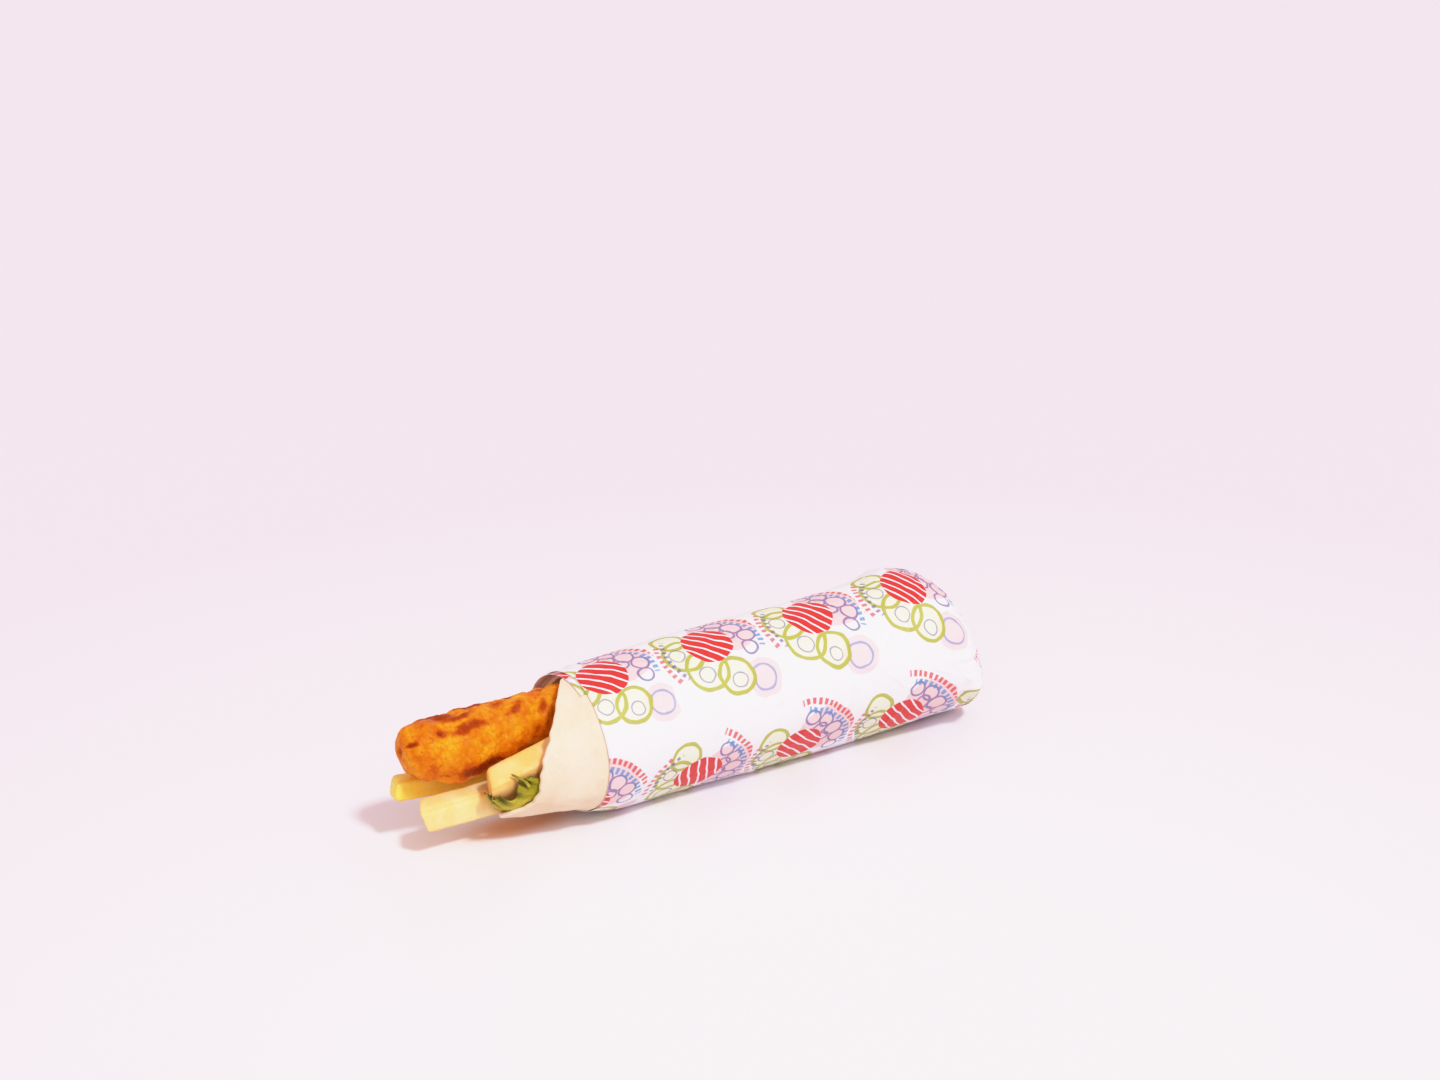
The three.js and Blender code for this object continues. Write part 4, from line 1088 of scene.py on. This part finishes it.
# The salad leaf: a thin frilled leaf between the bread's loose corner and the middle fry, olive green and yellower
# towards the frill, with paler ribs. Its three lines run along the leaf, from the bread's corner up.
leaf = {
    "thickness": 0.45,
    "frill": 0.95,
    "frillWaves": 4.5,
    "fineFrill": 0.22,
    "fineWaves": 2.7,          # finer waves to each wave of the frill
    "frillCut": 0.035,         # how deep the frill's edge is cut in at each wave
    "ragged": 0.016,
    "notch": {"at": 0.57, "half": 0.13, "depth": 0.5},      # between the two lobes that show
    "ribs": 7,
    "ribWidth": 0.16,          # of the space from rib to rib
    "ribLean": 0.35,
    "ribFade": 0.7,            # share of a rib that is lost towards the frill
    "ribRelief": 0.35,         # of the leaf's thickness
    "blister": 0.16,
    "blisterSize": 3,
    "spread": (40, 14),        # about how long and how high the leaf is, laid flat
    "waviness": 0.95,          # share of the frill and the blisters that is raised
    "colours": [(0.12, "#D2C24A"), (0.32, "#B0A622"), (0.54, "#827C0C"), (0.76, "#464204")],
    "ribColour": "#BDB84E",
    "root": [(36.5, -11.2, -13.8), (34.5, -14.8, -12.6), (31, -17.4, -9.9), (26, -19.8, -5.8), (21, -21.5, -1)],
    "middle": [(43.4, -12.4, -11.2), (41.8, -16.0, -10.0), (38.4, -18.4, -7.6), (33, -19.7, -3), (27, -20.6, 0.6)],
    "tip": [(46.0, -12.0, -2.6), (45.0, -17.0, -3.6), (41.6, -19.4, -2.2), (37, -20.3, 1.6), (31, -20.6, 3.2)],
    "stalk": [(31.5, -21.2, -1.2), (33.2, -20.6, 1.4), (35.2, -19.3, 2.8), (37.4, -17.6, 4.2)],
    "stalkRadius": 0.62,
    "stalkRings": 30,
    "stalkSides": 14,
    "deeper": 0.16,            # how much darker the upper lobe is
    "across": 150,
    "up": 40,
}


def lineAt(points, t):
    # smooth line through a few points, at shares t of its length
    p = np.array([(-s, y, float(centreHeight(0)) + h) for s, y, h in points])
    p = np.vstack([2 * p[0] - p[1], p, 2 * p[-1] - p[-2]])
    t = np.clip(t, 0, 1) * (len(points) - 1)
    i = np.minimum(t.astype(int), len(points) - 2)
    k = (t - i)[..., None]
    a, b, c, d = p[i], p[i + 1], p[i + 2], p[i + 3]
    return 0.5 * (2 * b + (c - a) * k + (2 * a - 5 * b + 4 * c - d) * k ** 2 + (3 * b - a - 3 * c + d) * k ** 3)


def leafSheet(u, v):
    # u runs along the leaf, and v from its root to its frill
    v = v[..., None]
    root, middle, tip = (lineAt(leaf[line], u) for line in ("root", "middle", "tip"))
    return root * (1 - v) ** 2 + 2 * middle * v * (1 - v) + tip * v ** 2


def makeLeaf(materials):
    u, v = np.meshgrid(np.linspace(0, 1, leaf["across"]), np.linspace(0, 1, leaf["up"]))
    waves, notch = leaf["frillWaves"], leaf["notch"]
    v = v * (1 - notch["depth"] * bell(u, notch["at"], notch["half"]))
    cutIn = leaf["frillCut"] * (1 + np.cos(6 * np.pi * waves * (u - 0.5))) * v ** 4
    v = v * (1 - cutIn - leaf["ragged"] * np.sin(61 * u) * v ** 5)
    across = leafSheet(u + 0.02, v) - leafSheet(u - 0.02, v)
    along = leafSheet(u, v + 0.02) - leafSheet(u, v - 0.02)
    outward = np.cross(across, along)
    outward /= np.linalg.norm(outward, axis=-1, keepdims=True)
    rib = np.abs(np.sin(np.pi * (u * leaf["ribs"] + leaf["ribLean"] * v)))[..., None]
    rib = np.exp(-rib / leaf["ribWidth"]) * (1 - v[..., None] * leaf["ribFade"])
    frill = leaf["frill"] * np.sin(2 * np.pi * waves * u) * v ** 1.6
    frill = frill + leaf["fineFrill"] * np.sin(2 * np.pi * waves * leaf["fineWaves"] * u + 1) * v ** 3
    flat = np.stack([u * leaf["spread"][0], v * leaf["spread"][1], 0 * u], -1)
    blister = leaf["blister"] * softNoise(flat, leaf["blisterSize"], 6, 2)
    sheet = leafSheet(u, v) + outward * (frill + blister)[..., None] * leaf["waviness"]
    half = leaf["thickness"] * (0.5 + leaf["ribRelief"] * rib)
    points = np.concatenate([(sheet + outward * half).reshape(-1, 3), (sheet - outward * half).reshape(-1, 3)])
    mesh = makeMesh("saladLeaf", points, sheetFaces(*u.shape))
    tone = v + leaf["deeper"] * smoothStep(u, 0.5, 0.72)
    # the frill's height is kept to paint light on its crests and shade in its hollows
    for name, front, back in (("rib", rib, rib), ("frill", tone, tone), ("crest", frill, -frill)):
        addAttribute(mesh, name, np.concatenate([front.ravel(), back.ravel()]))
    return addPiece("saladLeaf", mesh, materials)


def makeStalk(materials):
    # a round stem on the leaf, blunt at its root and rounded at its tip
    rings, columns = leaf["stalkRings"], leaf["stalkSides"]
    t = np.linspace(0, 1, rings)
    centre = lineAt(leaf["stalk"], t)
    forward = np.gradient(centre, axis=0)
    forward /= np.linalg.norm(forward, axis=1, keepdims=True)
    sideways = np.cross((0, 0, 1), forward)
    sideways /= np.linalg.norm(sideways, axis=1, keepdims=True)
    upward = np.cross(forward, sideways)
    turn = np.linspace(0, math.tau, columns, endpoint=False)[None, :, None]
    radius = leaf["stalkRadius"] * (1.15 - 0.4 * t) * np.where(t < 1, np.sqrt(np.clip((1 - t) * 12, 0, 1)), 0.2)
    out = np.cos(turn) * sideways[:, None] + np.sin(turn) * upward[:, None]
    points = (centre[:, None] + radius[:, None, None] * out).reshape(-1, 3)
    faces = gridFaces(rings, columns, wrap=True)
    faces += [tuple(range(columns))[::-1], tuple(range((rings - 1) * columns, rings * columns))]
    mesh = makeMesh("saladStalk", points, faces)
    addAttribute(mesh, "rib", np.full(rings * columns, 0.3))
    addAttribute(mesh, "frill", np.repeat(0.5 + 0.4 * t, columns))
    return addPiece("saladStalk", mesh, materials)


def makeLeafMaterial():
    # a waxy leaf: light comes through it a little, so its shaded side stays yellow-green
    material, tree, shader = newMaterial("frilledSaladLeaf")
    place = addNode(tree, "ShaderNodeTexCoord").outputs["Object"]
    rib, frill, crest = (addNode(tree, "ShaderNodeAttribute", {"attribute_name": name}).outputs["Fac"]
                         for name in ("rib", "frill", "crest"))
    # a leaf's own cells are finer than a pixel here, so its grain is drawn at 2.4 mm
    cells = addNode(tree, "ShaderNodeTexNoise", None, {"Vector": place, "Scale": 420, "Detail": 4.0})
    # darker towards the frill, with painted shade in the frill's hollows and painted light on its crests
    depth = addNode(tree, "ShaderNodeMath", {"operation": "MULTIPLY_ADD"}, {0: cells, 1: 0.5, 2: frill})
    depth = addNode(tree, "ShaderNodeMath", {"operation": "MULTIPLY_ADD"}, {0: crest, 1: -0.75, 2: depth})
    ramp = addNode(tree, "ShaderNodeValToRGB", {"stops": leaf["colours"]}, {
        "Fac": addNode(tree, "ShaderNodeMath", {"operation": "MULTIPLY"}, {0: depth, 1: 0.6})})
    ribbed = addNode(tree, "ShaderNodeMath", {"operation": "MULTIPLY"}, {0: rib, 1: 0.55})
    colour = addNode(tree, "ShaderNodeMix", {"data_type": "RGBA"}, {
        "Factor": ribbed, 6: ramp.outputs["Color"], 7: leaf["ribColour"]})
    bump = addNode(tree, "ShaderNodeBump", None, {"Height": cells, "Distance": 0.0002, "Strength": 0.5})
    setSockets(tree, shader, {
        "Base Color": colour.outputs[2], "Roughness": 0.5, "IOR": 1.45, "Specular IOR Level": 0.25, "Normal": bump,
        "Subsurface Weight": 0.12, "Subsurface Radius": (0.001, 0.0012, 0.0002), "Subsurface Scale": 1.0})
    return material


leafMaterials = [makeLeafMaterial()]
saladLeaf, saladStalk = makeLeaf(leafMaterials), makeStalk(leafMaterials)
print("leaf grown")

# Specks on the kebab: ground chilli and dried herb, strewn over what shows of it. The density is a number for each
# square metre.
specks = {
    "chilliSpecks": {"density": 26000, "size": 0.32, "seed": 3, "colour": "#8E2408", "name": "groundChilli"},
    "herbSpecks": {"density": 7000, "size": 0.38, "seed": 11, "colour": "#5C5A1C", "name": "driedHerb"},
}
grind = {
    "smallest": (0.45, 0.3, 0.27),       # length, width and height of a flake, as shares of a speck's size
    "largest": (1.25, 0.75, 0.45),
    "deepest": 8,              # strewn to this far behind the mouth
}


def speckTree():
    # flakes strewn at random over what shows of the kebab, each turned its own way; everything is in metres
    tree, names, given = startTree("strewnSpecks", {
        "Kebab": "Object", "Density": "Float", "Speck size": "Float", "Deepest x": "Float", "Seed": "Int",
        "Finish": "Material"})
    skin = addNode(tree, "GeometryNodeObjectInfo", None, {"Object": given["Kebab"]}).outputs["Geometry"]
    at = addNode(tree, "ShaderNodeSeparateXYZ", None, {0: addNode(tree, "GeometryNodeInputPosition")}).outputs["X"]
    shows = addNode(tree, "FunctionNodeCompare", {"operation": "LESS_THAN"}, {0: at, 1: given["Deepest x"]})
    points = addNode(tree, "GeometryNodeDistributePointsOnFaces", None, {
        "Mesh": skin, "Selection": shows, "Density": given["Density"], "Seed": given["Seed"]})
    speck = addNode(tree, "GeometryNodeMeshIcoSphere", None, {"Radius": given["Speck size"], "Subdivisions": 1})
    spin = addNode(tree, "FunctionNodeRandomValue", None, {3: math.tau, "Seed": given["Seed"]})
    turned = addNode(tree, "FunctionNodeRotateRotation", {"rotation_space": "LOCAL"}, {
        0: points.outputs["Rotation"],
        1: addNode(tree, "FunctionNodeAxisAngleToRotation", None, {"Axis": (0, 0, 1), "Angle": spin.outputs[1]})})
    length = addNode(tree, "FunctionNodeRandomValue", {"data_type": "FLOAT_VECTOR"}, {
        0: grind["smallest"], 1: grind["largest"], "Seed": given["Seed"]})
    strewn = addNode(tree, "GeometryNodeInstanceOnPoints", None, {
        "Points": points.outputs["Points"], "Instance": speck, "Rotation": turned, "Scale": length.outputs[0]})
    endTree(tree, strewn, given["Finish"])
    return tree, names


def makeSpeckMaterial(speck):
    # dry ground spice, stuck in the fat: dark, and uneven in tone over 0.7 mm, so from speck to speck
    material, tree, shader = newMaterial(speck["name"])
    place = addNode(tree, "ShaderNodeTexCoord").outputs["Object"]
    tone = addNode(tree, "ShaderNodeTexNoise", None, {"Vector": place, "Scale": 1500, "Detail": 2.0})
    hue = addNode(tree, "ShaderNodeHueSaturation", None, {
        "Color": speck["colour"],
        "Value": addNode(tree, "ShaderNodeMapRange", None, {"Value": tone, "To Min": 0.5, "To Max": 1.7})})
    setSockets(tree, shader, {"Base Color": hue, "Roughness": 0.6, "Specular IOR Level": 0.3})
    return material


strewnTree, strewnInputs = speckTree()
speckPieces = []
for name, speck in specks.items():
    speckPieces.append(growPiece(name, strewnTree, strewnInputs, {
        "Kebab": chickenKebab, "Density": speck["density"], "Speck size": speck["size"] / 1000,
        "Deepest x": (roll["mouthAt"][0] + grind["deepest"]) / 1000, "Seed": speck["seed"],
        "Finish": makeSpeckMaterial(speck)}))
print("specks strewn")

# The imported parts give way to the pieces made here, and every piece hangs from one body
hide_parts("paper_sleeve")
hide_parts("flatbread")
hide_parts("chicken_kebab")
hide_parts("salad_leaf")
for name, fry in fries.items():
    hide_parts(fry["node"])
for piece in [paperSleeve, breadRoll, chickenKebab, saladLeaf, saladStalk, *fryPieces.values(), *speckPieces]:
    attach(piece, "root")
print("pieces placed")

# The studio: a pale floor with a painted rosy glow away from the front and a painted warm shadow close under the
# food, a key light from high on the camera's right with a fairly sharp shadow, a wide soft light from lower down in
# front, and a bright even fill
studio = {
    "floor": "#F3F2F5",
    "floorWallGlow": "#E8D8E4",    # painted rosy light from a red wall, growing away from the front
    "wallGlowCentre": (-0.06, -0.22, 0),
    "wallGlowStart": 0.12,
    "wallGlowEnd": 0.55,
    "foodShadow": "#DAA066",         # painted warm shadow and bounce light close under the food
    "foodShadowAt": (-0.079, 0.001, 0),
    "foodShadowHalf": (0.034, 0.0125, 1),
    "floorSize": 200.0,
    "fill": "#FFE5E8",         # bright, even and a little rosy
    "fillStrength": 0.84,
    "softFrom": (-0.3, -0.72, 0.62),
    "softWidth": 75,           # degrees across, as seen from the floor
    "softStrength": 0.42,
    "softColour": "#FFF2F4",
    "keyFrom": (0.045, -0.57, 0.80),
    "keyWidth": 7.5,
    "keyStrength": 2.3,
    "keyColour": "#EEF5FC",
    # the camera's response: linear up to 0.6, then a soft shoulder, so white paper stays just short of white
    "brightest": 2.0,
    "response": [(0, 0), (0.3, 0.3), (0.6, 0.6), (0.8, 0.765), (1.0, 0.87), (1.2, 0.925), (1.5, 0.962), (2.0, 0.99)],
    "cameraLooksAt": (0.0084, -0.00706, 0.10182),
    "cameraAzimuth": -33.5,
    "cameraElevation": 22.5,
    "cameraDistance": 1.553,
    "cameraLens": 100,
    "cameraSensor": 36,
}


def makeFloor():
    half = studio["floorSize"] / 2
    mesh = bpy.data.meshes.new("paleTable")
    mesh.from_pydata([(-half, -half, 0), (half, -half, 0), (half, half, 0), (-half, half, 0)], [], [(0, 1, 2, 3)])
    # painted board: smooth, with a barely visible roller texture of about 1 mm
    material, tree, shader = newMaterial("paintedBoard")
    place = addNode(tree, "ShaderNodeTexCoord").outputs["Object"]
    cloud = addNode(tree, "ShaderNodeTexNoise", None, {"Vector": place, "Scale": 3.0, "Detail": 3.0})
    # painted reflection: the floor turns rosy away from the front, as a red wall's light would colour it
    wallGlow = addNode(tree, "ShaderNodeVectorMath", {"operation": "DISTANCE"}, {0: place, 1: studio["wallGlowCentre"]})
    wallGlow = addNode(tree, "ShaderNodeMapRange", None, {
        "Value": wallGlow.outputs["Value"], "From Min": studio["wallGlowStart"], "From Max": studio["wallGlowEnd"]})
    wallGlow = addNode(tree, "ShaderNodeMath", {"operation": "MULTIPLY_ADD"}, {0: cloud, 1: 0.1, 2: wallGlow})
    colour = addNode(tree, "ShaderNodeMix", {"data_type": "RGBA"}, {
        "Factor": wallGlow, 6: studio["floor"], 7: studio["floorWallGlow"]})
    # painted shade: a warm brown shadow and bounce light on the floor close under the food
    foodShadowMask = addNode(tree, "ShaderNodeVectorMath", {"operation": "SUBTRACT"}, {0: place, 1: studio["foodShadowAt"]})
    foodShadowMask = addNode(tree, "ShaderNodeVectorMath", {"operation": "DIVIDE"}, {0: foodShadowMask, 1: studio["foodShadowHalf"]})
    foodShadowMask = addNode(tree, "ShaderNodeVectorMath", {"operation": "LENGTH"}, {0: foodShadowMask})
    foodShadowMask = addNode(tree, "ShaderNodeMapRange", {"interpolation_type": "SMOOTHSTEP"}, {
        "Value": foodShadowMask.outputs["Value"], "From Min": 1.0, "From Max": 0.2})
    colour = addNode(tree, "ShaderNodeMix", {"data_type": "RGBA"}, {
        "Factor": foodShadowMask, 6: colour.outputs[2], 7: studio["foodShadow"]})
    roller = addNode(tree, "ShaderNodeTexNoise", None, {"Vector": place, "Scale": 900, "Detail": 2.0})
    bump = addNode(tree, "ShaderNodeBump", None, {"Height": roller, "Distance": 0.00005, "Strength": 0.3})
    setSockets(tree, shader, {
        "Base Color": colour.outputs[2], "Roughness": 0.34, "Specular IOR Level": 0.5, "Normal": bump})
    floor = addPiece("paleTable", mesh, [material])


def makeLights():
    world = bpy.data.worlds.new("studioFill")
    world.use_nodes = True
    setSockets(world.node_tree, world.node_tree.nodes["Background"], {
        "Color": studio["fill"], "Strength": studio["fillStrength"]})
    scene.world = world
    for name in ("key", "soft"):
        lamp = bpy.data.lights.new(name, "SUN")
        lamp.angle = math.radians(studio[name + "Width"])
        lamp.energy = studio[name + "Strength"]
        lamp.color = toLinear(studio[name + "Colour"])[:3]
        light = bpy.data.objects.new(name, lamp)
        light.rotation_euler = Vector(studio[name + "From"]).to_track_quat("Z", "Y").to_euler()
        scene.collection.objects.link(light)


def makeCamera():
    a, e = math.radians(studio["cameraAzimuth"]), math.radians(studio["cameraElevation"])
    back = Vector((math.sin(a) * math.cos(e), -math.cos(a) * math.cos(e), math.sin(e)))
    lens = bpy.data.cameras.new("camera")
    lens.lens = studio["cameraLens"]
    lens.sensor_width = studio["cameraSensor"]
    camera = bpy.data.objects.new("camera", lens)
    camera.location = Vector(studio["cameraLooksAt"]) + back * studio["cameraDistance"]
    camera.rotation_euler = back.to_track_quat("Z", "Y").to_euler()
    scene.collection.objects.link(camera)
    scene.camera = camera


makeFloor()
makeLights()
makeCamera()
view = scene.view_settings
view.view_transform = "Standard"
view.use_curve_mapping = True
view.curve_mapping.white_level = (studio["brightest"],) * 3
curve = view.curve_mapping.curves[3]
for i, (light, shown) in enumerate(studio["response"]):
    if 0 < i < len(studio["response"]) - 1:
        curve.points.new(light / studio["brightest"], shown)
curve.points[0].location = (0, 0)
curve.points[-1].location = (1, studio["response"][-1][1])
view.curve_mapping.update()
print("studio lit")
